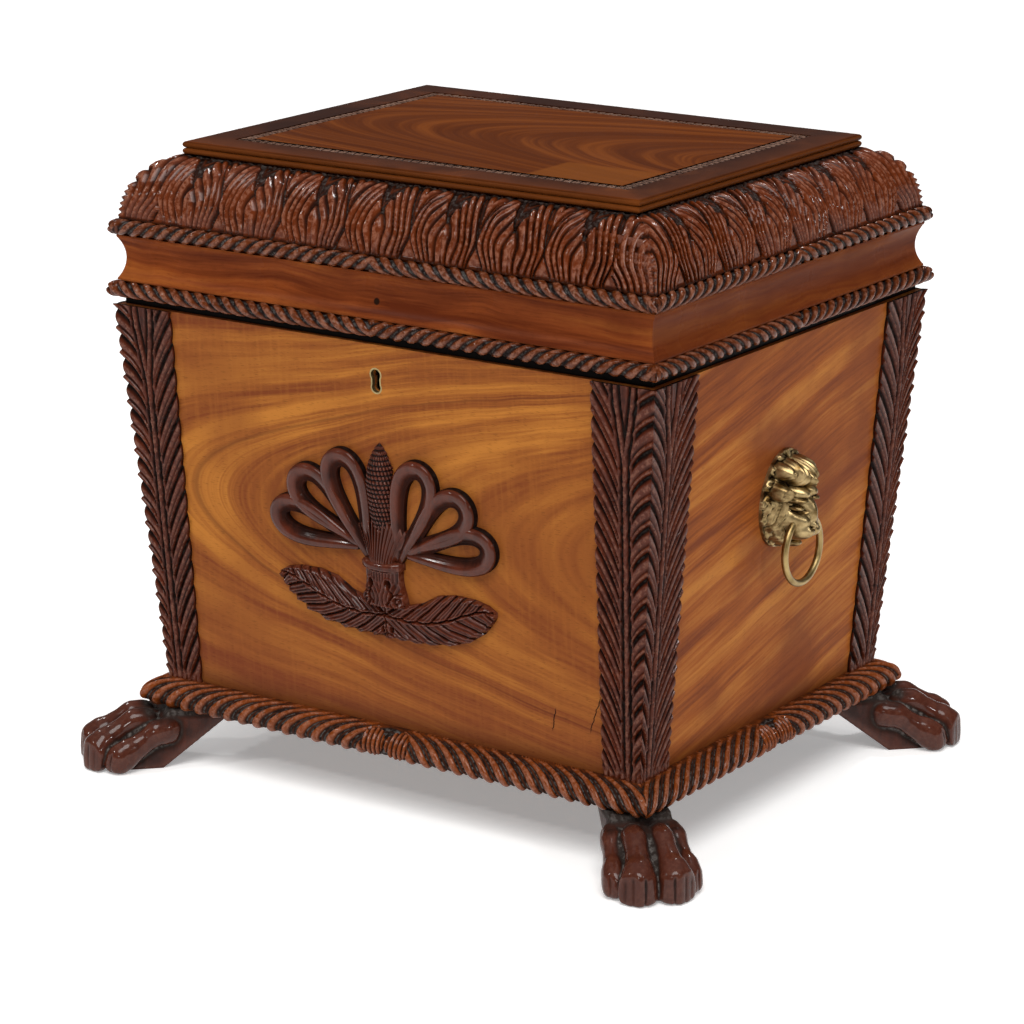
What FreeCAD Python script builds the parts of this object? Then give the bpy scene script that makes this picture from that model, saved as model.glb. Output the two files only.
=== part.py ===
import FreeCAD, Part
import math
import os

Vector = FreeCAD.Vector

# A sarcophagus-shaped wine cellarette: a tapered mahogany box on four paw feet, with a hinged,
# moulded lid, a carved ornament and lock on the front, and a lion mask with a ring on each end.
#
# Millimetres.  X runs to the right, Y to the back, Z up; the origin is on the floor, under the
# middle of the box.  The plan is a rectangle whose mitre lines meet on a ridge along X.  A
# "reach" is a horizontal distance out from that ridge, so a front face lies at y = -reach and
# a right-hand face at x = ridge_half + reach.

# ------------------------------------------------------------------ overall plan and heights
length_over_rope = 600.0        # X, over the rope moulding at the foot of the lid
depth_over_rope = 488.0         # Y, over the same moulding
foot_height = 57.0              # floor to the underside of the base moulding
base_moulding_height = 26.0
body_height = 364.0             # tapered walls
lid_gap = 0.3                   # air between the walls' top edges and the closed lid
shadow_gap = 6.4                # set-back strip under the lower rope
lower_rope_dia = 15.6
cavetto_height = 42.4
upper_rope_dia = 15.2
cushion_height = 57.4
top_board_thickness = 12.0

# ------------------------------------------------------------------ body
panel_inset = 8.4               # lower rope's outer edge to the wall's face at the joint
wall_flare = 29.6               # how far the walls lean out from bottom to top
wall_thickness = 18.0
floor_thickness = 14.0
base_projection = 23.5          # base moulding beyond the foot of the wall's face
base_under_projection = 17.5    # its underside beyond the same face
base_widest_height = 10.5       # its widest line above its underside
base_ledge = 20.0               # how far the base frame runs in under the floor board
seat_gap = 0.2                  # glue or slip clearance between seated pieces

leaf_strip_proud = 3.4
leaf_strip_front_top = 67.0     # widths of the carved corner strips, corner edge to inner edge
leaf_strip_front_foot = 41.0
leaf_strip_end_top = 73.0
leaf_strip_end_foot = 48.0
leaf_scallops = 16
leaf_scallop_depth = 3.2

liner_gap = 0.3
liner_thickness = 2.0
liner_rim_drop = 57.0           # liner's rim below the top of the walls
divider_thickness = 8.0
divider_height = 200.0
cells_long = 4
cells_deep = 3

# ------------------------------------------------------------------ feet
foot_splay = 45.0               # degrees from X to the way a paw points
foot_half_width = 28.0          # flat-sided bracket behind the toes
foot_heel = 20.0                # bracket's heel on the floor, behind the base's corner
foot_bracket_reach = 93.0       # where the bracket's slanting underside meets the base
foot_toe_reach = 60.0           # toe tips ahead of the base's corner
foot_side_bulge = 44.0          # outer toes to each side of the paw's middle line
knuckle_crest = 56.0            # top of the inner toes' knuckles above the floor

# ------------------------------------------------------------------ lid
lid_frame_thickness = 24.0
rope_bedding = 2.6              # depth of the flat where a rope is glued on
cavetto_lip_inset = 8.0         # lips of the hollow moulding inside the lower rope's edge
cavetto_hollow = 6.2
cavetto_fillet = 1.6
upper_rope_inset = 1.6          # upper rope inside the lower one
cushion_foot_inset = 8.8
top_board_inset = 52.4          # top board's edge inside the lower rope's edge
cushion_board = 27.0            # thickness of the cushion's sides at their top
cushion_top_inset = 0.8         # top board's overhang over the cushion
leaves_on_long_side = 7         # whole leaves; one more bends round each corner
leaves_on_end = 6
leaf_row_overrun = 1.5          # outermost whole leaf's edge beyond the cushion's top corner
leaf_relief = 3.4               # leaves stand this high over the ground between them
leaf_gap = 2.6                  # groove between neighbouring leaves
leaf_foot_share = 0.52          # width of a leaf at its foot, as a share of its pitch
leaf_waist_rise = 27.0          # height over which it spreads to its full width
leaf_notch_rise = 40.0          # foot of the notch that splits its top
leaf_notch_share = 0.30         # width of that notch at the top, as a share of its pitch
reed_count = 2
carved_band_inset = 34.0
carved_band_width = 13.0
top_inlay_depth = 4.0

# ------------------------------------------------------------------ hinges and lock
hinge_spacing = 340.0
hinge_length = 50.0
hinge_leaf = 2.0
hinge_knuckle_dia = 8.0
hinge_pin_dia = 4.0
hinge_pin_play = 0.05
hinge_knuckles = 5
knuckle_gap = 0.3
hinge_leaf_width = 20.4
screw_dia = 3.5
screw_head_dia = 6.6
screw_length = 14.0
screw_fit = 0.05
screws_per_leaf = 3

lock_length = 60.0
lock_height = 49.0
lock_depth = 12.0
lock_skin = 1.5
lock_inset = 10.0               # lock's front inside the wall's face at the top edge
selvedge_length = 76.0
selvedge_overhang = 2.5
bolt_travel = 8.0
bolt_play = 0.3
bolt_tip_gap = 1.5              # finger tips to the staples when the bolt is drawn back
bolt_height = 6.0
bolt_finger = 4.0
bolt_neck = 3.0
staple_spacing = 26.5
staple_thickness = 2.5
staple_drop = 11.0
staple_hole = 6.0
striker_length = 40.0
keyhole_drop = 33.6             # middle of the keyhole below the walls' top edge
keyhole_height = 24.4
keyhole_head = 13.0
keyhole_foot = 12.2
keyhole_waist = 10.8
keyhole_thread = 1.4            # thickness of the brass lining
keyhole_depth = 4.0
lock_pin_dia = 3.0

# ------------------------------------------------------------------ front ornament
ornament_above_base = 88.0      # bottom of the leaf spray above the foot of the wall
cob_half_width = 16.5
cob_proud = 14.0
cob_length = 110.0
ribbon_width = 16.0             # at the far end of a loop
ribbon_root_width = 6.0         # where it leaves the knot
ribbon_proud = 9.0
UPPER_LOOP = dict(root_across=16.0, root_up=-9.0, lean=72.3, length=95.6, swell=25.0)
MIDDLE_LOOP = dict(root_across=26.0, root_up=4.0, lean=39.3, length=84.4, swell=24.4)
LOWER_LOOP = dict(root_across=25.5, root_up=0.0, lean=12.4, length=92.3, swell=22.3)
loop_start = 0.06               # share of a loop's run that is hidden in the knot
knot_half_width = 36.0
knot_height = 14.0
spray_half_length = 121.0
spray_height = 54.0
spray_proud = 9.0
calyx_height = 34.0
calyx_half_width = 23.0
calyx_proud = 15.0
collar_height = 8.0
collar_half_width = 21.0
collar_overhang = 1.5

# ------------------------------------------------------------------ lion masks and rings
mask_above_base = 214.3         # middle of the mask above the foot of the wall
mask_half_width = 38.0
mask_half_height = 47.0
mask_plate = 6.0
skull_middle_proud = 4.0
skull_half_depth = 24.0
muzzle_proud = 41.0
muzzle_half_width = 17.0
muzzle_drop = 13.0              # these drops and rises are from the middle of the mask
chin_drop = 30.0
forelock_proud = 35.0
forelock_rise = 33.0
brow_across = 13.0
brow_rise = 12.0
ear_across = 24.0
ear_rise = 28.0
mane_locks = 12
mane_lock_half = 8.4
mane_overhang = 2.5             # locks beyond the edge of the plate
ring_pivot_proud = 25.5
ring_pivot_drop = 18.5          # pivot below the middle of the mask
ring_radius = 31.2              # to the middle of the wire
ring_wire_dia = 6.6
ring_end_half_gap = 19.5        # middle line of the mask to the wire at the height of the pivot
ring_end_trim = 1.2             # wire cut off square on the mask's side of that
ring_pivot_dia = 4.4
ring_pivot_length = 6.5
ring_pivot_play = 0.05
ring_pivot_end_gap = 0.5
handle_bolt_dia = 6.0
handle_bolt_spacing = 44.0
handle_nut_width = 11.0
handle_nut_thickness = 5.0
handle_nut_sunk = 1.5           # nut's face inside the wall's inner face
handle_nut_room = 1.0           # counterbore beyond the nut's corners
bolt_end_proud = 0.5            # bolt's end beyond the nut
handle_bolt_embed = 9.0
bolt_fit = 0.05

# ------------------------------------------------------------------ worked-out places
rope_out = depth_over_rope / 2
ridge_half = (length_over_rope - depth_over_rope) / 2
body_foot_z = foot_height + base_moulding_height
joint_z = body_foot_z + body_height
lid_foot_z = joint_z + lid_gap
lower_rope_foot_z = lid_foot_z + shadow_gap
cavetto_foot_z = lower_rope_foot_z + lower_rope_dia
cavetto_top_z = cavetto_foot_z + cavetto_height
cushion_foot_z = cavetto_top_z + upper_rope_dia
cushion_top_z = cushion_foot_z + cushion_height
overall_height = cushion_top_z + top_board_thickness

panel_top = rope_out - panel_inset
panel_foot = panel_top - wall_flare
flare_angle = math.degrees(math.atan2(wall_flare, body_height))
base_widest = panel_foot + base_projection
base_under = panel_foot + base_under_projection
base_inner = panel_foot - wall_thickness - base_ledge
lid_seat = rope_out - lower_rope_dia + rope_bedding
lid_inner = lid_seat - lid_frame_thickness
cavetto_lip = rope_out - cavetto_lip_inset
upper_rope_out = rope_out - upper_rope_inset
upper_rope_seat = upper_rope_out - upper_rope_dia + rope_bedding
top_board_out = rope_out - top_board_inset
cushion_foot = rope_out - cushion_foot_inset
cushion_top = top_board_out - cushion_top_inset

hinge_axis_y = panel_top + hinge_knuckle_dia / 2 + lid_gap
hinge_axis_z = joint_z + lid_gap / 2

SIDES = ("front", "right", "back", "left")
CORNERS = {"front_left": (-1, -1), "front_right": (1, -1), "back_right": (1, 1), "back_left": (-1, 1)}
BIG = 4 * length_over_rope


def wall_face(z):
    """Reach of the plain wall's outer face at a height."""
    return panel_foot + wall_flare * (z - body_foot_z) / body_height


def wall_inside(z):
    """Reach of the wall's inner face at a height."""
    return wall_face(z) - wall_thickness


def save(shape, node):
    """Write one sub-part."""
    shape.exportStep(os.path.join("parts", node + ".step"))


def fused(shapes):
    """Join solids that make one piece."""
    first = shapes[0]
    if len(shapes) == 1:
        return first
    return first.multiFuse(shapes[1:]).removeSplitter()


def outline(start, *moves):
    """Closed face through (reach, height) points; a move of two points is an arc."""
    edges = []
    here = Vector(0, -start[0], start[1])
    for move in moves + ((start,),):
        end = Vector(0, -move[-1][0], move[-1][1])
        if len(move) == 2:
            middle = Vector(0, -move[0][0], move[0][1])
            edges.append(Part.Arc(here, middle, end).toShape())
        else:
            edges.append(Part.makeLine(here, end))
        here = end
    return Part.Face(Part.Wire(edges))


def polygon(points):
    """Closed flat face through points."""
    return Part.Face(Part.makePolygon(list(points) + [points[0]]))


def to_side(shape, side):
    """Turn a shape made on the front to the named side."""
    turned = shape.copy()
    angle = {"front": 0, "right": 90, "back": 180, "left": -90}[side]
    turned.rotate(Vector(0, 0, 0), Vector(0, 0, 1), angle)
    turned.translate(Vector({"right": ridge_half, "left": -ridge_half}.get(side, 0.0), 0, 0))
    return turned


def half_ridge(side):
    """Half the ridge that a side's mitres start from."""
    return ridge_half if side in ("front", "back") else 0.0


def mitre_wedge(side):
    """The part of space in front of the ridge that belongs to one side."""
    start = half_ridge(side)
    corners = [Vector(start, 0, -BIG), Vector(start + BIG, -BIG, -BIG), Vector(-start - BIG, -BIG, -BIG)]
    if start > 0:
        corners.append(Vector(-start, 0, -BIG))
    return polygon(corners).extrude(Vector(0, 0, 2 * BIG))


def mitred_bar(profile, side):
    """A moulding or wall of one side, on the front, mitred at both ends."""
    bar = profile.copy()
    bar.translate(Vector(-BIG / 2, 0, 0))
    bar = bar.extrude(Vector(BIG, 0, 0))
    return bar.common(mitre_wedge(side))


def mitred_ring(profile):
    """The same moulding run round all four sides as one piece."""
    return fused([to_side(mitred_bar(profile, side), side) for side in SIDES])


def frustum(reach_foot, z_foot, reach_top, z_top):
    """A block with sloping sides between two heights."""
    wires = []
    for reach, z in ((reach_foot, z_foot), (reach_top, z_top)):
        x = ridge_half + reach
        wires.append(Part.makePolygon([Vector(-x, -reach, z), Vector(x, -reach, z),
                                       Vector(x, reach, z), Vector(-x, reach, z), Vector(-x, -reach, z)]))
    return Part.makeLoft(wires, True, True)


def box(x0, x1, y0, y1, z0, z1):
    """A box between coordinates."""
    return Part.makeBox(x1 - x0, y1 - y0, z1 - z0, Vector(x0, y0, z0))


def ellipsoid(centre, half):
    """An ellipsoid with the given half sizes."""
    ball = Part.makeSphere(1.0)
    matrix = FreeCAD.Matrix()
    matrix.scale(half[0], half[1], half[2])
    ball = ball.transformGeometry(matrix)
    ball.translate(Vector(*centre))
    return ball


def on_wall(shape):
    """Lean a shape made on an upright wall (y = 0, foot at z = 0) onto the front wall's face."""
    leant = shape.copy()
    leant.rotate(Vector(0, 0, 0), Vector(1, 0, 0), flare_angle)
    leant.translate(Vector(0, -panel_foot, body_foot_z))
    return leant


def up_wall(rise):
    """Distance up the sloping wall for a rise above its foot."""
    return rise / math.cos(math.radians(flare_angle))


# ------------------------------------------------------------------ hinges
def hinge_middles():
    return (-hinge_spacing / 2, hinge_spacing / 2)


def knuckle_spans(middle):
    """X spans of a hinge's knuckles, in order."""
    pitch = hinge_length / hinge_knuckles
    start = middle - hinge_length / 2
    return [(start + i * pitch + knuckle_gap / 2, start + (i + 1) * pitch - knuckle_gap / 2)
            for i in range(hinge_knuckles)]


def along_x(radius, x0, x1, y, z):
    """A round bar along X."""
    return Part.makeCylinder(radius, x1 - x0, Vector(x0, y, z), Vector(1, 0, 0))


def screw_places(middle):
    """Middle, left and right screws of a leaf, all on the wood and not under the knuckles."""
    pitch = hinge_length / screws_per_leaf
    y = hinge_axis_y - hinge_leaf_width * 0.7
    return [(middle + (i - (screws_per_leaf - 1) / 2) * pitch, y) for i in range(screws_per_leaf)]


def screw(x, y, z, way, growth=0.0):
    """A countersunk screw whose head is flush at z; way is +1 up or -1 down into the wood."""
    head = (screw_head_dia - screw_dia) / 2
    cone = Part.makeCone(screw_head_dia / 2 + growth, screw_dia / 2 + growth, head,
                         Vector(x, y, z), Vector(0, 0, way))
    shank = Part.makeCylinder(screw_dia / 2 + growth, screw_length - head + growth,
                              Vector(x, y, z + way * head), Vector(0, 0, way))
    return cone.fuse(shank).removeSplitter()


def hinge_half(middle, upper):
    """One leaf of a butt hinge with its own knuckles."""
    z0 = lid_foot_z if upper else joint_z - hinge_leaf
    x0 = middle - hinge_length / 2 + knuckle_gap / 2
    x1 = middle + hinge_length / 2 - knuckle_gap / 2
    leaf = box(x0, x1, hinge_axis_y - hinge_leaf_width, hinge_axis_y, z0, z0 + hinge_leaf)
    own = [span for i, span in enumerate(knuckle_spans(middle)) if (i % 2 == 1) == upper]
    others = [span for i, span in enumerate(knuckle_spans(middle)) if (i % 2 == 1) != upper]
    for a, b in others:
        clear = along_x(hinge_knuckle_dia / 2 + knuckle_gap, a - knuckle_gap, b + knuckle_gap,
                        hinge_axis_y, hinge_axis_z)
        leaf = leaf.cut(clear)
    half = fused([leaf] + [along_x(hinge_knuckle_dia / 2, a, b, hinge_axis_y, hinge_axis_z) for a, b in own])
    play = hinge_pin_play if upper else screw_fit
    half = half.cut(along_x(hinge_pin_dia / 2 + play, x0 - 1, x1 + 1, hinge_axis_y, hinge_axis_z))
    way = 1 if upper else -1
    face = lid_foot_z if upper else joint_z
    for x, y in screw_places(middle):
        half = half.cut(screw(x, y, face, way, screw_fit))
    return half


def hinge_pin(middle):
    return along_x(hinge_pin_dia / 2, middle - hinge_length / 2, middle + hinge_length / 2,
                   hinge_axis_y, hinge_axis_z)


def hinge_recess(middle, upper):
    """Wood taken out for a leaf and for the knuckles in front of it."""
    z0 = lid_foot_z - seat_gap if upper else joint_z - hinge_leaf - seat_gap
    z1 = lid_foot_z + hinge_leaf + seat_gap if upper else joint_z + seat_gap
    half = hinge_length / 2 + seat_gap
    x0 = middle - half
    x1 = middle + half
    leaf = box(x0, x1, hinge_axis_y - hinge_leaf_width - seat_gap, hinge_axis_y, z0, z1)
    knuckles = along_x(hinge_knuckle_dia / 2 + lid_gap, x0, x1, hinge_axis_y, hinge_axis_z)
    return leaf.fuse(knuckles)


# ------------------------------------------------------------------ lock
lock_front_y = -(panel_top - lock_inset)
lock_back_y = lock_front_y + lock_depth
staple_xs = (-staple_spacing / 2, staple_spacing / 2)
staple_hole_z = joint_z - staple_drop + staple_hole / 2 + lock_skin
bolt_bar_top_z = joint_z - staple_drop - bolt_play - lock_skin


def lock_mortise():
    """Wood taken out of the front wall for the lock, open to the inside."""
    half = lock_length / 2 + seat_gap
    case = box(-half, half, lock_front_y - seat_gap, 0, joint_z - lock_height - seat_gap, joint_z + 1)
    half = selvedge_length / 2 + seat_gap
    plate = box(-half, half, lock_front_y - selvedge_overhang - seat_gap, 0,
                joint_z - hinge_leaf - seat_gap, joint_z + 1)
    return case.fuse(plate)


def lock_screw_places():
    x = (lock_length + selvedge_length) / 4 + seat_gap
    return [(-x, lock_front_y), (x, lock_front_y)]


def make_lock_case():
    """A box lock: hollow case, top plate with two slots, and the pin that the key turns on."""
    half = lock_length / 2
    shell = box(-half, half, lock_front_y, lock_back_y, joint_z - lock_height, joint_z)
    plate_half = selvedge_length / 2
    plate = box(-plate_half, plate_half, lock_front_y - selvedge_overhang, lock_back_y + selvedge_overhang,
                joint_z - hinge_leaf, joint_z)
    hollow = box(-half + lock_skin, half - lock_skin, lock_front_y + lock_skin, lock_back_y - lock_skin,
                 joint_z - lock_height + lock_skin, joint_z - hinge_leaf)
    case = fused([shell, plate]).cut(hollow)
    for x in staple_xs:
        reach = staple_thickness / 2 + 1.0
        case = case.cut(box(x - reach, x + reach, lock_front_y + lock_skin, lock_back_y - lock_skin,
                            joint_z - hinge_leaf - 1, joint_z + 1))
    case = case.cut(on_wall(keyhole_block(keyhole_thread, lock_inset + lock_skin)))
    pin_foot = Vector(0, lock_back_y - lock_skin / 2, joint_z - keyhole_drop + keyhole_height / 4)
    pin = Part.makeCylinder(lock_pin_dia / 2, lock_depth - lock_skin, pin_foot, Vector(0, -1, 0))
    case = fused([case, pin])
    for x, y in lock_screw_places():
        case = case.cut(screw(x, y, joint_z, -1, screw_fit))
    return case


def make_lock_bolt():
    """A sliding bar with two fingers that enter the staples; drawn back at rest."""
    y0 = lock_front_y + lock_skin + bolt_play
    y1 = lock_back_y - lock_skin - bolt_play
    finger_y = (lock_front_y + lock_back_y) / 2
    pieces = []
    necks = []
    for x in staple_xs:
        tip = x - staple_thickness / 2 - bolt_tip_gap
        neck = tip - bolt_travel
        necks.append(neck)
        pieces.append(box(neck, tip, finger_y - bolt_finger / 2, finger_y + bolt_finger / 2,
                          staple_hole_z - bolt_finger / 2, staple_hole_z + bolt_finger / 2))
        pieces.append(box(neck - bolt_neck, neck, y0, y1, bolt_bar_top_z - bolt_height,
                          staple_hole_z + bolt_finger / 2))
    pieces.append(box(necks[0] - bolt_neck, necks[1], y0, y1, bolt_bar_top_z - bolt_height, bolt_bar_top_z))
    return fused(pieces)


def make_striker():
    """The plate let into the lid, with the two staples that the bolt catches."""
    half = striker_length / 2
    y0 = lock_front_y
    y1 = lock_back_y
    plate = box(-half, half, y0, y1, lid_foot_z, lid_foot_z + hinge_leaf)
    middle = (y0 + y1) / 2
    width = (lock_depth - 2 * lock_skin - 1.0) / 2
    pieces = [plate]
    for x in staple_xs:
        pieces.append(box(x - staple_thickness / 2, x + staple_thickness / 2, middle - width, middle + width,
                          lid_foot_z - staple_drop, lid_foot_z + hinge_leaf / 2))
    striker = fused(pieces)
    hole = along_x(staple_hole / 2, -half, half, middle, staple_hole_z)
    for x, y in striker_screw_places():
        striker = striker.cut(screw(x, y, lid_foot_z, 1, screw_fit))
    return striker.cut(hole)


def striker_screw_places():
    y = (lock_front_y + lock_back_y) / 2
    return [(0.0, y)]


def striker_recess():
    half = striker_length / 2 + seat_gap
    return box(-half, half, lock_front_y - seat_gap, lock_back_y + seat_gap,
               lid_foot_z - 1, lid_foot_z + hinge_leaf + seat_gap)


def keyhole_block(inset, depth):
    """Upright keyhole outline on the wall's face, carried back into the wood."""
    middle = up_wall(body_height - keyhole_drop)
    head = keyhole_head / 2
    foot = keyhole_foot / 2
    head_z = middle + keyhole_height / 2 - head
    foot_z = middle - keyhole_height / 2 + foot
    rounds = [Part.makeCylinder(radius - inset, depth, Vector(0, 0, z), Vector(0, 1, 0))
              for z, radius in ((head_z, head), (foot_z, foot))]
    waist = keyhole_waist / 2 - inset
    return fused(rounds + [box(-waist, waist, 0, depth, foot_z, head_z)])


def make_escutcheon():
    return on_wall(keyhole_block(0.0, keyhole_depth).cut(keyhole_block(keyhole_thread, keyhole_depth)))


# ------------------------------------------------------------------ carcase
def wall_section(thickness):
    """Section of a layer on the sloping wall face: outwards, or inwards if negative."""
    return outline((panel_foot, body_foot_z), ((panel_top, joint_z),),
                   ((panel_top + thickness, joint_z),), ((panel_foot + thickness, body_foot_z),))


def make_wall(side):
    """One tapered, mitred wall."""
    wall = mitred_bar(wall_section(-wall_thickness), side)
    if side == "front":
        wall = wall.cut(lock_mortise())
        wall = wall.cut(on_wall(keyhole_block(-bolt_fit, keyhole_depth + seat_gap)))
        wall = wall.cut(on_wall(keyhole_block(keyhole_thread, wall_thickness)))
        for x, y in lock_screw_places():
            wall = wall.cut(screw(x, y, joint_z, -1, screw_fit))
    if side in ("left", "right"):
        for hole in handle_holes():
            wall = wall.cut(hole)
    wall = to_side(wall, side)
    if side == "back":
        for middle in hinge_middles():
            wall = wall.cut(hinge_recess(middle, False))
            for x, y in screw_places(middle):
                wall = wall.cut(screw(x, y, joint_z, -1, screw_fit))
    return wall


def make_floor():
    z0 = body_foot_z
    z1 = z0 + floor_thickness
    return frustum(wall_inside(z0) - seat_gap, z0, wall_inside(z1) - seat_gap, z1)


def make_base_moulding(side):
    """The bulging moulding under the walls, down to the feet."""
    top = body_foot_z
    widest = (base_widest, foot_height + base_widest_height)
    shoulder = panel_foot + leaf_strip_proud
    rise = top - widest[1]
    run = base_widest - shoulder
    over = (shoulder + run * 0.71, widest[1] + rise * 0.71)
    under = (base_widest - (base_widest - base_under) * 0.25, foot_height + base_widest_height * 0.42)
    profile = outline((base_inner, foot_height), ((base_under, foot_height),), (under, widest),
                      (over, (shoulder, top)), ((base_inner, top),))
    return to_side(mitred_bar(profile, side), side)


def scalloped_edge(width_top, width_foot, start):
    """Plan of a corner strip seen square to its wall: straight at the corner, scalloped inside."""
    corner_foot = start + panel_foot + leaf_strip_proud
    corner_top = start + panel_top + leaf_strip_proud
    step = body_height / leaf_scallops

    def inner(i):
        share = i / leaf_scallops
        corner = corner_foot + (corner_top - corner_foot) * share
        width = width_foot + (width_top - width_foot) * share
        return Vector(corner - width + leaf_scallop_depth, 0, body_foot_z + i * step)

    beyond = corner_top + leaf_strip_front_top
    edges = [Part.makeLine(Vector(beyond, 0, joint_z), Vector(beyond, 0, body_foot_z)),
             Part.makeLine(Vector(beyond, 0, body_foot_z), inner(0))]
    for i in range(leaf_scallops):
        a = inner(i)
        b = inner(i + 1)
        bulge = (a + b) * 0.5 + Vector(-leaf_scallop_depth, 0, step * 0.2)
        edges.append(Part.Arc(a, bulge, b).toShape())
    edges.append(Part.makeLine(inner(leaf_scallops), Vector(beyond, 0, joint_z)))
    return Part.Face(Part.Wire(edges))


def corner_strip(side, hand):
    """One carved strip: the right-hand end of a side as seen from outside, or the left."""
    end = side in ("left", "right")
    top = leaf_strip_end_top if end else leaf_strip_front_top
    foot = leaf_strip_end_foot if end else leaf_strip_front_foot
    bar = mitred_bar(wall_section(leaf_strip_proud), side)
    cutter = scalloped_edge(top, foot, half_ridge(side)).extrude(Vector(0, -BIG, 0))
    strip = bar.common(cutter)
    if hand < 0:
        strip = strip.mirror(Vector(0, 0, 0), Vector(1, 0, 0))
    return to_side(strip, side)


def make_corner_leaves(corner):
    """The two strips that meet at one corner edge."""
    x_way, y_way = CORNERS[corner]
    facing = "front" if y_way < 0 else "back"
    end = "right" if x_way > 0 else "left"
    facing_hand = x_way if facing == "front" else -x_way
    end_hand = y_way if end == "right" else -y_way
    return Part.makeCompound([corner_strip(facing, facing_hand), corner_strip(end, end_hand)])


def make_liner():
    """The thin lead tray inside the walls."""
    z0 = body_foot_z + floor_thickness
    z1 = joint_z - liner_rim_drop
    outer = frustum(wall_inside(z0) - liner_gap, z0, wall_inside(z1) - liner_gap, z1)
    reach_foot = wall_inside(z0 + liner_thickness) - liner_gap - liner_thickness
    reach_top = wall_inside(z1 + liner_thickness) - liner_gap - liner_thickness
    inner = frustum(reach_foot, z0 + liner_thickness, reach_top, z1 + liner_thickness)
    return outer.cut(inner)


def liner_inside(z):
    return wall_inside(z) - liner_gap - liner_thickness


def divider_places(cells, half_span):
    """Middles of the boards that part a span into equal cells."""
    pitch = 2 * half_span / cells
    return [-half_span + pitch * i for i in range(1, cells)]


divider_foot_z = body_foot_z + floor_thickness + liner_thickness
divider_top_z = divider_foot_z + divider_height
divider_lap_z = (divider_foot_z + divider_top_z) / 2
long_divider_ys = divider_places(cells_deep, liner_inside(divider_foot_z))
cross_divider_xs = divider_places(cells_long, ridge_half + liner_inside(divider_foot_z))


def make_long_dividers():
    """Boards along X, notched from below over the cross boards."""
    block = frustum(liner_inside(divider_foot_z) - seat_gap, divider_foot_z,
                    liner_inside(divider_top_z) - seat_gap, divider_top_z)
    half = divider_thickness / 2
    boards = []
    for y in long_divider_ys:
        board = block.common(box(-BIG, BIG, y - half, y + half, 0, BIG))
        for x in cross_divider_xs:
            notch = half + seat_gap
            board = board.cut(box(x - notch, x + notch, -BIG, BIG, 0, divider_lap_z + seat_gap))
        boards.append(board)
    return Part.makeCompound(boards)


def make_cross_dividers():
    """Boards along Y, notched from above under the long boards."""
    block = frustum(liner_inside(divider_foot_z) - seat_gap, divider_foot_z,
                    liner_inside(divider_top_z) - seat_gap, divider_top_z)
    half = divider_thickness / 2
    boards = []
    for x in cross_divider_xs:
        board = block.common(box(x - half, x + half, -BIG, BIG, 0, BIG))
        for y in long_divider_ys:
            notch = half + seat_gap
            board = board.cut(box(-BIG, BIG, y - notch, y + notch, divider_lap_z, BIG))
        boards.append(board)
    return Part.makeCompound(boards)


# ------------------------------------------------------------------ feet
def foot_toe(side_shift, setback, size):
    """One toe: a high knuckle, and a lower one with its claw."""
    knuckle_z = knuckle_crest - 15 * size
    tip_r = foot_toe_reach - 17 * size - setback
    tip_z = 19 * size
    high = ellipsoid((6 - setback, side_shift * 0.9, knuckle_z), (14 * size, 11 * size, 15 * size))
    low = ellipsoid((tip_r, side_shift, tip_z), (17 * size, 13 * size, 21 * size))
    claw = ellipsoid((tip_r + 11 * size, side_shift, tip_z * 0.5), (8 * size, 4.5 * size, 12 * size))
    return [high, low, claw]


def make_paw(corner):
    """A paw foot that points out from one corner, with a flat-sided bracket behind it."""
    w = foot_half_width
    side_view = [Vector(-foot_bracket_reach, -w, foot_height), Vector(-foot_heel, -w, 0),
                 Vector(foot_toe_reach * 0.55, -w, 0), Vector(foot_toe_reach * 0.5, -w, foot_height * 0.42),
                 Vector(foot_toe_reach * 0.12, -w, foot_height)]
    bracket = polygon(side_view).extrude(Vector(0, 2 * w, 0))
    inner_shift = foot_side_bulge * 0.28
    outer_size = 0.92
    outer_shift = foot_side_bulge - 13 * outer_size
    pieces = [bracket]
    for way in (-1, 1):
        pieces += foot_toe(way * inner_shift, 0.0, 1.0)
        pieces += foot_toe(way * outer_shift, foot_toe_reach * 0.3, outer_size)
    paw = fused(pieces)
    paw = paw.cut(box(-BIG, BIG, -BIG, BIG, -BIG, 0))
    x_way, y_way = CORNERS[corner]
    angle = foot_splay if x_way > 0 else 180 - foot_splay
    paw.rotate(Vector(0, 0, 0), Vector(0, 0, 1), angle * y_way)
    paw.translate(Vector(x_way * (ridge_half + base_widest), y_way * base_widest, 0))
    room = frustum(base_under, foot_height, base_widest, foot_height + base_widest_height)
    above = frustum(base_widest, foot_height + base_widest_height, base_widest, body_foot_z)
    return paw.cut(room.fuse(above))


# ------------------------------------------------------------------ front ornament
def turned(points):
    """A solid turned about an upright axis from (radius, height) points joined by a smooth curve."""
    places = [Vector(radius, 0, z) for radius, z in points]
    curve = Part.BSplineCurve()
    curve.interpolate(places)
    foot = Vector(0, 0, points[0][1])
    top = Vector(0, 0, points[-1][1])
    edges = [Part.makeLine(foot, places[0]), curve.toShape()]
    if places[-1].x > 0:
        edges.append(Part.makeLine(places[-1], top))
    edges.append(Part.makeLine(top, foot))
    return Part.Face(Part.Wire(edges)).revolve(Vector(0, 0, 0), Vector(0, 0, 1), 360)


def flattened(shape, proud, half_width):
    """Squash a turned solid in Y to its proud height and keep the half outside the wall."""
    matrix = FreeCAD.Matrix()
    matrix.scale(1.0, proud / half_width, 1.0)
    flat = shape.transformGeometry(matrix)
    return flat.cut(box(-BIG, BIG, 0, BIG, -BIG, BIG))


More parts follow.
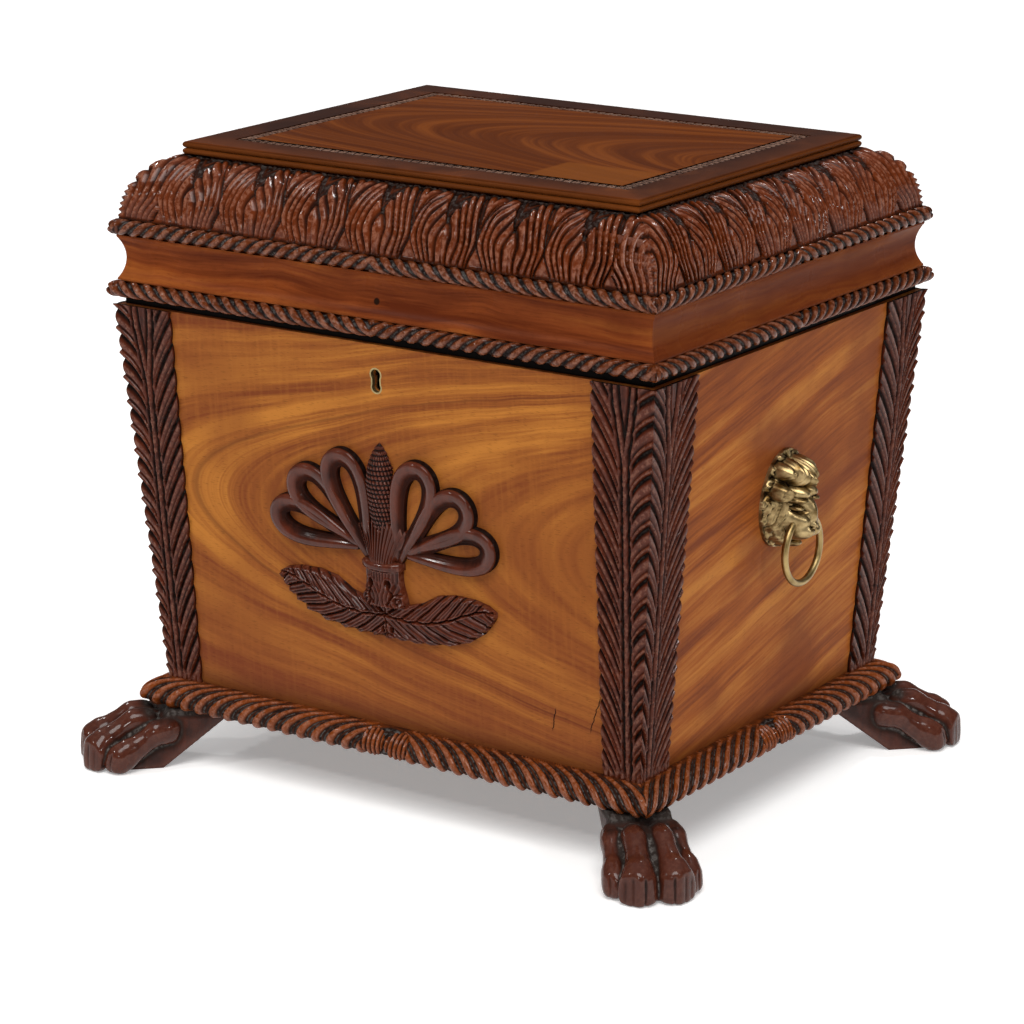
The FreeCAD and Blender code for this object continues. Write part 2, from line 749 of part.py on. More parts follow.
spray_foot_w = up_wall(ornament_above_base)
calyx_foot_w = spray_foot_w + spray_height * 0.63
collar_foot_w = calyx_foot_w + calyx_height
cob_foot_w = collar_foot_w + collar_height + seat_gap
ribbon_foot_w = cob_foot_w + ribbon_width / 2 + seat_gap


def make_cob():
    """The ear of corn, widest above its middle."""
    shares = ((0.30, 0.0), (0.52, 0.14), (0.80, 0.40), (1.0, 0.68), (0.78, 0.86), (0.38, 0.96), (0.0, 1.0))
    points = [(r * cob_half_width, cob_foot_w + share * cob_length) for r, share in shares]
    return on_wall(flattened(turned(points), cob_proud, cob_half_width))


def curve_through(places):
    curve = Part.BSplineCurve()
    curve.interpolate(places)
    return curve


def loop_point(loop, share):
    """A point on a loop's middle line, a teardrop run from its root out, round and back."""
    turn = math.pi * share
    along = loop["length"] * math.sin(turn) ** 2
    across = 2 * loop["swell"] * math.sin(turn) ** 3 * math.cos(turn)
    lean = math.radians(loop["lean"])
    u = loop["root_across"] + along * math.cos(lean) - across * math.sin(lean)
    w = loop["root_up"] + along * math.sin(lean) + across * math.cos(lean)
    return Vector(u, 0, ribbon_foot_w + w)


def ribbon_strip(loop, first, last):
    """A ribbon between two shares of its run, widest at the far end of the loop."""
    steps = 16
    nudge = 0.001
    sides = ([], [])
    for i in range(steps + 1):
        share = first + (last - first) * i / steps
        middle = loop_point(loop, share)
        way = loop_point(loop, share + nudge) - loop_point(loop, share - nudge)
        way.normalize()
        normal = Vector(-way.z, 0, way.x)
        width = ribbon_root_width + (ribbon_width - ribbon_root_width) * math.sin(math.pi * share)
        sides[0].append(middle + normal * (width / 2))
        sides[1].append(middle - normal * (width / 2))
    edges = [curve_through(side).toShape() for side in sides]
    edges += [Part.makeLine(sides[0][i], sides[1][i]) for i in (0, -1)]
    face = Part.Face(Part.Wire(Part.sortEdges(edges)[0]))
    return face.extrude(Vector(0, -ribbon_proud, 0))


def make_ribbons():
    """Three loops to each side of the corn, from one knot under it."""
    strips = []
    for loop in (UPPER_LOOP, MIDDLE_LOOP, LOWER_LOOP):
        strips.append(ribbon_strip(loop, loop_start, 0.5))
        strips.append(ribbon_strip(loop, 0.5, 1 - loop_start))
    strips += [strip.mirror(Vector(0, 0, 0), Vector(1, 0, 0)) for strip in strips]
    knot = Part.makeCylinder(knot_half_width, knot_height, Vector(0, 0, ribbon_foot_w - ribbon_root_width))
    knot = flattened(knot, ribbon_proud * 0.7, knot_half_width)
    room_radius = cob_half_width + seat_gap
    room = Part.makeCylinder(room_radius, BIG, Vector(0, 0, collar_foot_w))
    room = flattened(room, cob_proud + seat_gap, room_radius)
    return on_wall(fused(strips + [knot]).cut(room))


def make_calyx():
    """The cup under the corn, with its collar: flat-fronted, with rounded front corners."""
    foot = calyx_foot_w
    top = collar_foot_w
    waist = calyx_half_width * 0.80
    cup = polygon([Vector(-calyx_half_width, 0, foot), Vector(calyx_half_width, 0, foot),
                   Vector(waist, 0, top), Vector(-waist, 0, top)]).extrude(Vector(0, -calyx_proud, 0))
    front = calyx_proud + collar_overhang
    collar = box(-collar_half_width, collar_half_width, -front, 0, top, top + collar_height)
    body = fused([cup, collar])
    corner = calyx_proud * 0.5
    half = max(collar_half_width, calyx_half_width) + collar_overhang
    nose = box(-half, half, -front, 0, foot, top + collar_height)
    upright = [edge for edge in nose.Edges if abs(edge.tangentAt(edge.FirstParameter).z) > 0.99
               and edge.BoundBox.YMax < -1]
    rounded = nose.makeFillet(corner, upright)
    return on_wall(body.common(rounded))


def make_spray():
    """Two leaves spread from the middle, domed, under the cup."""
    half = spray_half_length
    tall = spray_height
    foot = spray_foot_w
    rim = [(0, 0.0), (0.36, 0.0), (0.60, 0.03), (0.80, 0.15), (0.93, 0.36), (1.0, 0.50), (0.95, 0.68),
           (0.80, 0.92), (0.62, 1.0), (0.44, 0.93), (0.30, 0.62)]
    places = [Vector(u * half, 0, foot + w * tall) for u, w in rim]
    curve = Part.BSplineCurve()
    curve.interpolate(places)
    face = Part.Face(Part.Wire([curve.toShape(), Part.makeLine(places[-1], Vector(0, 0, places[-1].z)),
                                Part.makeLine(Vector(0, 0, places[-1].z), places[0])]))
    leaf = face.extrude(Vector(0, -spray_proud, 0))
    rise = spray_proud * 0.75
    radius = ((tall / 2) ** 2 + rise ** 2) / (2 * rise)
    dome = along_x(radius, -BIG / 2, BIG / 2, radius - spray_proud, foot + tall / 2)
    leaf = leaf.common(dome)
    spray = fused([leaf, leaf.mirror(Vector(0, 0, 0), Vector(1, 0, 0))])
    room = calyx_half_width + seat_gap
    return on_wall(spray.cut(box(-room, room, -BIG, BIG, calyx_foot_w - seat_gap, BIG)))


# ------------------------------------------------------------------ masks, rings and their fixings
mask_w = up_wall(mask_above_base)
ring_pivot_w = mask_w - ring_pivot_drop
ring_inner_end = ring_end_half_gap - ring_end_trim


def handle_bolt_ws():
    return (mask_w - handle_bolt_spacing / 2, mask_w + handle_bolt_spacing / 2)


nut_corner_radius = handle_nut_width / 2 / math.cos(math.pi / 6)


def nut_outer_depth():
    """How far in from the wall's face the nut's outer face lies; the nut is sunk in from inside."""
    depth = wall_thickness * math.cos(math.radians(flare_angle))
    return depth - handle_nut_thickness - handle_nut_sunk


def into_wall(radius, start, end, w):
    """A round bar square to the wall between two depths, on its middle line."""
    return Part.makeCylinder(radius, end - start, Vector(0, start, w), Vector(0, 1, 0))


def handle_holes():
    """Bolt holes through the end walls, with a counterbore inside for the nut."""
    holes = []
    for w in handle_bolt_ws():
        through = into_wall(handle_bolt_dia / 2 + seat_gap, -wall_thickness, 2 * wall_thickness, w)
        bore = into_wall(nut_corner_radius + handle_nut_room, nut_outer_depth(), wall_thickness, w)
        holes.append(on_wall(through.fuse(bore)))
    return holes


def make_handle_bolt(w):
    end = nut_outer_depth() + handle_nut_thickness + bolt_end_proud
    return on_wall(into_wall(handle_bolt_dia / 2, -handle_bolt_embed, end, w))


def make_handle_nut(w):
    y = nut_outer_depth()
    corners = []
    for i in range(6):
        angle = math.radians(60 * i)
        corners.append(Vector(nut_corner_radius * math.cos(angle), y, w + nut_corner_radius * math.sin(angle)))
    nut = polygon(corners).extrude(Vector(0, handle_nut_thickness, 0))
    return on_wall(nut.cut(into_wall(handle_bolt_dia / 2 + bolt_fit, 0, 2 * wall_thickness, w)))


def mask_lump(across, proud, rise, half):
    """A rounded swelling of the lion's head, placed from the middle of the mask."""
    return ellipsoid((across, -proud, mask_w + rise), half)


def mask_features():
    """Skull, muzzle, chin, forelock, brows, ears and the locks of the mane."""
    muzzle_long = muzzle_proud * 0.38
    forelock_long = forelock_proud * 0.4
    skull_half = (mask_half_width * 0.78, skull_half_depth, mask_half_height * 0.8)
    lumps = [mask_lump(0, skull_middle_proud, 0, skull_half),
             mask_lump(0, muzzle_proud - muzzle_long, -muzzle_drop, (muzzle_half_width, muzzle_long, 15)),
             mask_lump(0, forelock_proud - forelock_long, forelock_rise, (12, forelock_long, 12)),
             mask_lump(0, 14, -chin_drop, (12, 12, 11))]
    for way in (-1, 1):
        lumps.append(mask_lump(way * brow_across, 21, brow_rise, (11, 9, 8)))
        lumps.append(mask_lump(way * ear_across, 13, ear_rise, (9, 9, 8)))
    for i in range(mane_locks):
        angle = 2 * math.pi * (i + 0.5) / mane_locks
        lumps.append(mask_lump((mask_half_width - mane_lock_half) * math.cos(angle), mask_plate - 1.0,
                               (mask_half_height - mane_lock_half) * math.sin(angle),
                               (mane_lock_half, mane_lock_half + 1.0, mane_lock_half)))
    return lumps


def make_mask():
    """A lion's head on an oval plate, with sockets in the muzzle for the ring."""
    rim = Part.Ellipse(Vector(0, 0, 0), mask_half_height - mane_overhang, mask_half_width - mane_overhang)
    plate_face = Part.Face(Part.Wire(rim.toShape()))
    plate_face.rotate(Vector(0, 0, 0), Vector(0, 0, 1), 90)
    plate_face.rotate(Vector(0, 0, 0), Vector(1, 0, 0), 90)
    plate_face.translate(Vector(0, 0, mask_w))
    plate = plate_face.extrude(Vector(0, -mask_plate, 0))
    mask = fused([plate] + mask_features())
    mask = mask.cut(box(-BIG, BIG, 0, BIG, -BIG, BIG))
    socket_end = ring_inner_end - ring_pivot_length - ring_pivot_end_gap
    for way in (-1, 1):
        socket_foot = Vector(way * socket_end, -ring_pivot_proud, ring_pivot_w)
        radius = ring_pivot_dia / 2 + ring_pivot_play
        mask = mask.cut(Part.makeCylinder(radius, BIG, socket_foot, Vector(way, 0, 0)))
    for w in handle_bolt_ws():
        mask = mask.cut(into_wall(handle_bolt_dia / 2 + bolt_fit, -handle_bolt_embed - seat_gap, 0, w))
    return on_wall(mask)


def ring_pivot_place():
    """The ring's pivot on the front wall, in the part's own frame before turning to its side."""
    angle = math.radians(flare_angle)
    y = -ring_pivot_proud * math.cos(angle) - ring_pivot_w * math.sin(angle) - panel_foot
    z = -ring_pivot_proud * math.sin(angle) + ring_pivot_w * math.cos(angle) + body_foot_z
    return Vector(0, y, z)


def make_ring():
    """An open ring that hangs plumb, with a short pivot turned in at each end."""
    pivot = ring_pivot_place()
    drop = math.sqrt(ring_radius ** 2 - ring_end_half_gap ** 2)
    centre = pivot - Vector(0, 0, drop)
    hoop = Part.makeTorus(ring_radius, ring_wire_dia / 2, centre, Vector(0, 1, 0))
    gap = box(-ring_inner_end, ring_inner_end, pivot.y - ring_wire_dia, pivot.y + ring_wire_dia,
              centre.z, centre.z + 2 * ring_radius)
    hoop = hoop.cut(gap)
    pieces = [hoop]
    for way in (-1, 1):
        root = pivot + Vector(way * (ring_inner_end + ring_pivot_dia / 2), 0, 0)
        length = ring_pivot_length + ring_pivot_dia / 2
        pieces.append(Part.makeCylinder(ring_pivot_dia / 2, length, root, Vector(-way, 0, 0)))
    return fused(pieces)


# ------------------------------------------------------------------ lid
def make_cavetto(side):
    """The lid's frame, with a hollow moulding between the two ropes."""
    foot = cavetto_foot_z + seat_gap
    low = (cavetto_lip, foot + cavetto_fillet)
    high = (cavetto_lip, cavetto_top_z - cavetto_fillet)
    deep = (cavetto_lip - cavetto_hollow, (low[1] + high[1]) / 2)
    profile = outline((lid_inner, lid_foot_z), ((lid_seat, lid_foot_z),), ((lid_seat, foot),),
                      ((cavetto_lip, foot),), (low,), (deep, high), ((cavetto_lip, cavetto_top_z),),
                      ((upper_rope_seat, cavetto_top_z),), ((upper_rope_seat, cushion_foot_z),),
                      ((lid_inner, cushion_foot_z),))
    bar = mitred_bar(profile, side)
    if side == "front":
        bar = bar.cut(striker_recess())
        for x, y in striker_screw_places():
            bar = bar.cut(screw(x, y, lid_foot_z, 1, screw_fit))
    bar = to_side(bar, side)
    if side == "back":
        for middle in hinge_middles():
            bar = bar.cut(hinge_recess(middle, True))
            for x, y in screw_places(middle):
                bar = bar.cut(screw(x, y, lid_foot_z, 1, screw_fit))
    return bar


def make_rope(side, outer, dia, foot_z):
    """A rope moulding: round, with a flat where it is glued to the frame."""
    radius = dia / 2
    centre_reach = outer - radius
    flat = radius - rope_bedding
    half_chord = math.sqrt(radius ** 2 - flat ** 2)
    middle_z = foot_z + radius
    low = (centre_reach - flat, middle_z - half_chord)
    high = (centre_reach - flat, middle_z + half_chord)
    profile = outline(low, ((outer, middle_z), high))
    return to_side(mitred_bar(profile, side), side)


def cushion_section(sunk, over):
    """The swelling section: a quarter ellipse outside, sunk below the leaves' tops or not, and
    slanting inside.  It runs over its own foot and top where it is to cut a shape."""
    spread = cushion_foot - cushion_top
    steps = 8
    places = []
    for i in range(steps + 1):
        angle = math.pi / 2 * i / steps
        places.append(Vector(0, -(cushion_top + (spread - sunk) * math.cos(angle)),
                             cushion_foot_z + (cushion_height - sunk) * math.sin(angle)))
    beyond = [Vector(0, -cushion_top, cushion_top_z + over),
              Vector(0, -(cushion_top - cushion_board), cushion_top_z + over),
              Vector(0, -(lid_inner - over), cushion_foot_z - over),
              Vector(0, places[0].y, cushion_foot_z - over)]
    corners = [places[-1]] + beyond + [places[0]]
    edges = [curve_through(places).toShape()]
    for start, end in zip(corners, corners[1:]):
        if start.distanceToPoint(end) > 0:
            edges.append(Part.makeLine(start, end))
    return Part.Face(Part.Wire(edges))


def leaf_gaps(side):
    """Outlines, seen square on, of what is cut away round the leaves of one side."""
    count = leaves_on_long_side if side in ("front", "back") else leaves_on_end
    limit = half_ridge(side) + cushion_top + leaf_row_overrun
    pitch = 2 * limit / count
    foot = cushion_foot_z - 1
    waist = cushion_foot_z + leaf_waist_rise
    notch = cushion_foot_z + leaf_notch_rise
    top = cushion_top_z + 1
    wide = pitch * (1 - leaf_foot_share) / 2
    half = leaf_gap / 2
    notch_half = pitch * leaf_notch_share / 2
    gaps = []
    for i in range(count + 1):
        x = i * pitch - limit
        gaps.append([Vector(x - wide, 0, foot), Vector(x + wide, 0, foot), Vector(x + half, 0, waist),
                     Vector(x + half, 0, top), Vector(x - half, 0, top), Vector(x - half, 0, waist)])
    for i in range(count):
        x = (i + 0.5) * pitch - limit
        gaps.append([Vector(x, 0, notch), Vector(x + notch_half, 0, top), Vector(x - notch_half, 0, top)])
    return gaps


def make_cushion(side):
    """The swelling side of the lid, with a row of split leaves standing on its ground."""
    cushion = mitred_bar(cushion_section(0, 0), side)
    ground = cushion_section(leaf_relief, 1).extrude(Vector(BIG, 0, 0))
    ground.translate(Vector(-BIG / 2, 0, 0))
    for gap in leaf_gaps(side):
        cushion = cushion.cut(polygon(gap).extrude(Vector(0, -BIG, 0)).cut(ground))
    return to_side(cushion, side)


band_outer = top_board_out - carved_band_inset
band_inner = band_outer - carved_band_width


def make_top_board():
    """The flat top with a reeded edge, let down in the middle for the band and the panel."""
    reed = top_board_thickness / reed_count
    core = top_board_out - reed / 2
    moves = []
    for i in range(reed_count):
        z = cushion_top_z + i * reed
        moves.append(((top_board_out, z + reed / 2), (core, z + reed)))
    moves += [((band_inner, overall_height),), ((band_inner, cushion_top_z),)]
    ring = mitred_ring(outline((core, cushion_top_z), *moves))
    middle = frustum(band_inner, cushion_top_z, band_inner, overall_height)
    board = ring.fuse(middle).removeSplitter()
    floor_z = overall_height - top_inlay_depth
    return board.cut(frustum(band_outer, floor_z, band_outer, overall_height + 1))


def make_top_band():
    floor_z = overall_height - top_inlay_depth
    outer = frustum(band_outer - seat_gap / 2, floor_z, band_outer - seat_gap / 2, overall_height)
    return outer.cut(frustum(band_inner, floor_z - 1, band_inner, overall_height + 1))


def make_top_panel():
    reach = band_inner - seat_gap / 2
    return frustum(reach, overall_height - top_inlay_depth, reach, overall_height)


# ------------------------------------------------------------------ writing the pieces
def write_carcase():
    for side in SIDES:
        save(make_wall(side), side + "_panel")
        save(make_base_moulding(side), "base_moulding_" + side)
    for corner in CORNERS:
        save(make_corner_leaves(corner), "corner_leaves_" + corner)
        save(make_paw(corner), "paw_foot_" + corner)
    save(make_floor(), "floor_board")
    save(make_liner(), "lead_liner")
    save(make_long_dividers(), "long_dividers")
    save(make_cross_dividers(), "cross_dividers")


def write_lock_and_hinges():
    save(make_lock_case(), "lock_case")
    save(make_lock_bolt(), "lock_bolt")
    save(make_striker(), "lock_striker")
    save(make_escutcheon(), "escutcheon")
    for name, middle in zip(("left", "right"), hinge_middles()):
        save(hinge_half(middle, False), "hinge_lower_" + name)
        save(hinge_half(middle, True), "hinge_upper_" + name)
    save(Part.makeCompound([hinge_pin(middle) for middle in hinge_middles()]), "hinge_pins")
    lower = [screw(x, y, joint_z, -1) for middle in hinge_middles() for x, y in screw_places(middle)]
    lower += [screw(x, y, joint_z, -1) for x, y in lock_screw_places()]
    save(Part.makeCompound(lower), "carcase_screws")
    upper = [screw(x, y, lid_foot_z, 1) for middle in hinge_middles() for x, y in screw_places(middle)]
    upper += [screw(x, y, lid_foot_z, 1) for x, y in striker_screw_places()]
    save(Part.makeCompound(upper), "lid_screws")


def write_ornament_and_handles():
    save(make_cob(), "corn_cob")
    save(make_ribbons(), "ribbon_loops")
    save(make_calyx(), "calyx_cup")
    save(make_spray(), "leaf_spray")
    mask = make_mask()
    ring = make_ring()
    for side in ("left", "right"):
        save(to_side(mask, side), "lion_mask_" + side)
        save(to_side(ring, side), "ring_handle_" + side)
    places = [(side, w) for side in ("left", "right") for w in handle_bolt_ws()]
    save(Part.makeCompound([to_side(make_handle_bolt(w), side) for side, w in places]), "handle_bolts")
    save(Part.makeCompound([to_side(make_handle_nut(w), side) for side, w in places]), "handle_nuts")


def write_lid():
    for side in SIDES:
        save(make_cavetto(side), "cavetto_" + side)
        save(make_cushion(side), "leaf_cushion_" + side)
        save(make_rope(side, rope_out, lower_rope_dia, lower_rope_foot_z), "lower_rope_" + side)
        save(make_rope(side, upper_rope_out, upper_rope_dia, cavetto_top_z), "upper_rope_" + side)
    save(make_top_board(), "top_board")
    save(make_top_band(), "top_carved_band")
    save(make_top_panel(), "top_panel")


os.makedirs("parts", exist_ok=True)
write_carcase()
write_lock_and_hinges()
write_ornament_and_handles()
write_lid()
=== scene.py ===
import math

import bpy
import numpy as np
from bpy.props import FloatProperty, FloatVectorProperty, PointerProperty
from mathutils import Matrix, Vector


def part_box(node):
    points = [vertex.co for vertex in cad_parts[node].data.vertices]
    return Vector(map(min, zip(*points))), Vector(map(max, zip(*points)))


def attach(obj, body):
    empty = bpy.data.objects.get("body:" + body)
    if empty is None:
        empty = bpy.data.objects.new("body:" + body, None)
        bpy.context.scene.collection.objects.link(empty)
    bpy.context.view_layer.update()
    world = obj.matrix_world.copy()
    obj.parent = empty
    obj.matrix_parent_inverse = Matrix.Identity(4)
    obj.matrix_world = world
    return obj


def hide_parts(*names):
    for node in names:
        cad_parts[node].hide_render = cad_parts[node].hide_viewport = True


bl_info = {
    "name": "Sarcophagus Cellarette",
    "version": (1, 0, 0),
    "blender": (4, 5, 0),
    "location": "View3D > Sidebar > Cellarette",
    "description": "Carves and polishes a wine cellarette round its frame",
    "category": "Object",
}

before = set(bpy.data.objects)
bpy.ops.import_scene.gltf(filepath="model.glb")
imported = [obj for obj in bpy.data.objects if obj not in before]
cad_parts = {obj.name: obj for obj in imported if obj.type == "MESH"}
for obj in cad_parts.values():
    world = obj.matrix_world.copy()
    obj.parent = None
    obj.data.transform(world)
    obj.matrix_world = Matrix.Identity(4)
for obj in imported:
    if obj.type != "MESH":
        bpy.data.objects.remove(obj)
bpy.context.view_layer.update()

# ------------------------------------------------------------------ places taken from the frame
# Millimetres.  A "reach" is a horizontal distance out from the ridge line that all the mitres
# start from, so a front face lies at y = -reach and a right-hand face at x = RIDGE + reach.


def box_mm(node):
    """Lowest and highest corner of a frame node, in millimetres."""
    low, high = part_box(node)
    return np.array(low) * 1000, np.array(high) * 1000


LOW_ROPE = box_mm("lower_rope_front")
PANEL = box_mm("front_panel")
BASE = box_mm("base_moulding_front")
CUSHION = box_mm("leaf_cushion_front")
BOARD = box_mm("top_board")
BAND = box_mm("top_carved_band")
INLAY = box_mm("top_panel")

ROPE_OUT = -LOW_ROPE[0][1]
RIDGE = LOW_ROPE[1][0] - ROPE_OUT
BODY_FOOT = PANEL[0][2]
JOINT = PANEL[1][2]
WALL_TOP = -PANEL[0][1]
BASE_OUT = -BASE[0][1]
BASE_FOOT = BASE[0][2]
# The walls stand this much further out at the lid than at their foot.
WALL_FLARE = 29.6
WALL_FOOT = WALL_TOP - WALL_FLARE
WALL_LEAN = math.atan2(WALL_FLARE, JOINT - BODY_FOOT)
SIDES = ("front", "right", "back", "left")
CORNERS = {"front_left": (-1, -1), "front_right": (1, -1), "back_right": (1, 1), "back_left": (-1, 1)}


def wall_reach(z):
    """Reach of the sloping wall's face at a height."""
    return WALL_FOOT + WALL_FLARE * (z - BODY_FOOT) / (JOINT - BODY_FOOT)


def half_ridge(side):
    """Half the ridge that a side's mitres start from."""
    return RIDGE if side in ("front", "back") else 0.0


def to_side(points, side):
    """Turn points made on the front to the named side."""
    x, y, z = points.T
    for _ in range(SIDES.index(side)):
        x, y = -y, x
    shift = {"right": RIDGE, "left": -RIDGE}.get(side, 0.0)
    return np.stack([x + shift, y, z], -1)


def off_wall(across, up, proud):
    """Points on the front wall: across it, up it from its foot, and proud of its face."""
    lean_sin = math.sin(WALL_LEAN)
    lean_cos = math.cos(WALL_LEAN)
    y = -(WALL_FOOT + up * lean_sin + proud * lean_cos)
    z = BODY_FOOT + up * lean_cos - proud * lean_sin
    return np.stack([across + 0 * up, y + 0 * across, z + 0 * across], -1)


# ------------------------------------------------------------------ shaping helpers
def fract(value):
    """What a value has above the whole number below it."""
    return value - np.floor(value)


def smooth(low, high, value):
    """Smooth step from 0 at low to 1 at high."""
    share = np.clip((value - low) / (high - low), 0, 1)
    return share * share * (3 - 2 * share)


def lobe(share, power=2.0):
    """Height of a rounded ridge over its own width, 0 at both edges and 1 in the middle."""
    return 1 - np.abs(2 * share - 1) ** power


def bump(u, w, middle, half, power=1.0):
    """A smooth mound over an ellipse, 1 in its middle."""
    distance = ((u - middle[0]) / half[0]) ** 2 + ((w - middle[1]) / half[1]) ** 2
    return np.clip(1 - distance, 0, 1) ** power


def arc(start, middle, end, steps):
    """Points on the circle through three (reach, height) places, from start to end."""
    (ax, ay), (bx, by), (cx, cy) = start, middle, end
    d = 2 * (ax * (by - cy) + bx * (cy - ay) + cx * (ay - by))
    aa, bb, cc = ax ** 2 + ay ** 2, bx ** 2 + by ** 2, cx ** 2 + cy ** 2
    ux = (aa * (by - cy) + bb * (cy - ay) + cc * (ay - by)) / d
    uy = (aa * (cx - bx) + bb * (ax - cx) + cc * (bx - ax)) / d
    # angles of the three places as seen from the circle's centre
    a0 = math.atan2(ay - uy, ax - ux)
    a1 = math.atan2(cy - uy, cx - ux)
    am = math.atan2(by - uy, bx - ux)
    turn = (a1 - a0) % (2 * math.pi)
    if (am - a0) % (2 * math.pi) > turn:
        turn -= 2 * math.pi
    angles = a0 + turn * np.linspace(0, 1, steps + 1)
    radius = math.hypot(ax - ux, ay - uy)
    return np.stack([ux + radius * np.cos(angles), uy + radius * np.sin(angles)], -1)


def even(points, steps):
    """The same line cut into equal lengths."""
    points = np.asarray(points, float)
    lengths = np.concatenate([[0], np.cumsum(np.hypot(*np.diff(points, axis=0).T))])
    wanted = np.linspace(0, lengths[-1], steps + 1)
    return np.stack([np.interp(wanted, lengths, points[:, i]) for i in (0, 1)], -1)


def outward(points):
    """Unit normals of a line of (reach, height) points that runs downwards on the outside."""
    way = np.gradient(points, axis=0)
    normal = np.stack([-way[:, 1], way[:, 0]], -1)
    return normal / np.linalg.norm(normal, axis=1)[:, None]


# ------------------------------------------------------------------ mesh helpers
def read_points(mesh):
    """All vertices of a mesh, one row each."""
    points = np.empty(len(mesh.vertices) * 3)
    mesh.vertices.foreach_get("co", points)
    return points.reshape(-1, 3)


def write_points(mesh, points):
    """Move all vertices of a mesh."""
    mesh.vertices.foreach_set("co", np.ascontiguousarray(points, np.float32).ravel())
    mesh.update()


def write_mark(mesh, name, values):
    """Store one number per vertex, for the finishes to read."""
    mark = mesh.attributes.get(name) or mesh.attributes.new(name, "FLOAT", "POINT")
    mark.data.foreach_set("value", np.ascontiguousarray(values, np.float32))


def deselect_all():
    """Leave edit mode and select nothing."""
    if bpy.context.object and bpy.context.object.mode != "OBJECT":
        bpy.ops.object.mode_set(mode="OBJECT")
    bpy.ops.object.select_all(action="DESELECT")


def close_up(piece, crease=50.0, weld=True):
    """Weld the seam, cap the ends, point the faces outwards and shade the piece."""
    bpy.ops.object.mode_set(mode="EDIT")
    bpy.ops.mesh.select_all(action="SELECT")
    if weld:
        bpy.ops.mesh.remove_doubles(threshold=0.000004)
        bpy.ops.mesh.fill_holes(sides=0)
        bpy.ops.mesh.select_all(action="SELECT")
    bpy.ops.mesh.normals_make_consistent(inside=False)
    bpy.ops.object.mode_set(mode="OBJECT")
    bpy.ops.object.shade_smooth_by_angle(angle=math.radians(crease))
    return piece


def new_grid(name, columns, rows, size=1.0):
    """A flat grid of faces, to be bent into a piece."""
    deselect_all()
    bpy.ops.mesh.primitive_grid_add(x_subdivisions=columns, y_subdivisions=rows, size=size)
    piece = bpy.context.object
    piece.name = name
    return piece


def swept(name, rows, columns, place, crease=50.0):
    """A closed bar: a grid whose columns wrap round a section and whose rows run along it."""
    piece = new_grid(name, columns, rows)
    piece.data.name = name
    flat = read_points(piece.data) + 0.5
    points, hollow = place(flat[:, 1], flat[:, 0])
    write_points(piece.data, points / 1000)
    write_mark(piece.data, "hollow", hollow)
    return close_up(piece, crease)


def neighbours_mean(mesh, values, rounds):
    """Average each vertex's values with its neighbours', several times over."""
    count = len(mesh.vertices)
    ends = np.empty(len(mesh.edges) * 2, int)
    mesh.edges.foreach_get("vertices", ends)
    a, b = ends.reshape(-1, 2).T
    degree = np.bincount(a, minlength=count) + np.bincount(b, minlength=count)
    for _ in range(rounds):
        total = np.empty_like(values)
        for axis in range(values.shape[1]):
            total[:, axis] = np.bincount(a, values[b, axis], count) + np.bincount(b, values[a, axis], count)
        values = (values + total) / (1 + degree)[:, None]
    return values


def mark_hollows(piece, rounds=6, scale=0.0009, least=0.0):
    """Find grooves by how far each vertex lies below the smoothed surface."""
    mesh = piece.data
    points = read_points(mesh)
    normals = np.empty(len(mesh.vertices) * 3)
    mesh.vertices.foreach_get("normal", normals)
    normals = normals.reshape(-1, 3)
    lift = ((neighbours_mean(mesh, points, rounds) - points) * normals).sum(1)
    write_mark(mesh, "hollow", np.maximum(np.clip(0.25 + lift / scale, 0, 1), least))


def set_finish(piece, material):
    """Make a material the only one of a piece."""
    piece.data.materials.clear()
    piece.data.materials.append(material)


def finish_piece(piece, body, slot, material, *nodes):
    """Give a piece its finish, the body it rides on and the frame nodes that it stands for."""
    set_finish(piece, material)
    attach(piece, body)
    if nodes:
        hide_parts(*nodes)


def finish_carving(piece, body, name, *nodes):
    """Finish a piece of carved wood."""
    finish_piece(piece, body, "carved_mahogany", finish(name), *nodes)


def bar(name, side, rows, outer, inner, carve, crease=50.0):
    """A mitred moulding of one side, carved on its outer face.

    outer runs along the outside of the section, inner back round behind it; carve takes places
    along the side and down the outer line and gives a depth and how deep in a hollow it is."""
    section = np.concatenate([outer, inner, outer[:1]])
    normal = np.concatenate([outward(outer), np.zeros((len(inner) + 1, 2))])
    run = np.concatenate([[0], np.cumsum(np.hypot(*np.diff(section, axis=0).T))])
    length = run[len(outer) - 1]
    columns = len(section) - 1
    start = half_ridge(side)

    def place(along, around):
        index = np.rint(around * columns).astype(int)
        reach, z = section[index].T
        share = 2 * along - 1
        on_face = index < len(outer)
        depth, hollow = carve(share * (start + reach), np.minimum(run[index], length), length)
        depth = np.where(on_face, depth, 0)
        reach = reach - depth * normal[index, 0]
        z = z - depth * normal[index, 1]
        points = np.stack([share * (start + reach), -reach, z], -1)
        return to_side(points, side), np.where(on_face, hollow, 0.45)

    return swept(name, rows, columns, place, crease)


# ------------------------------------------------------------------ finishes
class Value:
    """A number or colour that a node gives, for sums written as on plain numbers."""

    def __init__(self, owner, socket):
        self.owner = owner
        self.socket = socket

    def __add__(self, other):
        return self.owner.math("ADD", self, other)

    def __sub__(self, other):
        return self.owner.math("SUBTRACT", self, other)

    def __mul__(self, other):
        return self.owner.math("MULTIPLY", self, other)

    def __truediv__(self, other):
        return self.owner.math("DIVIDE", self, other)

    def __pow__(self, power):
        return self.owner.math("POWER", self, power)

    def __abs__(self):
        return self.owner.math("ABSOLUTE", self)


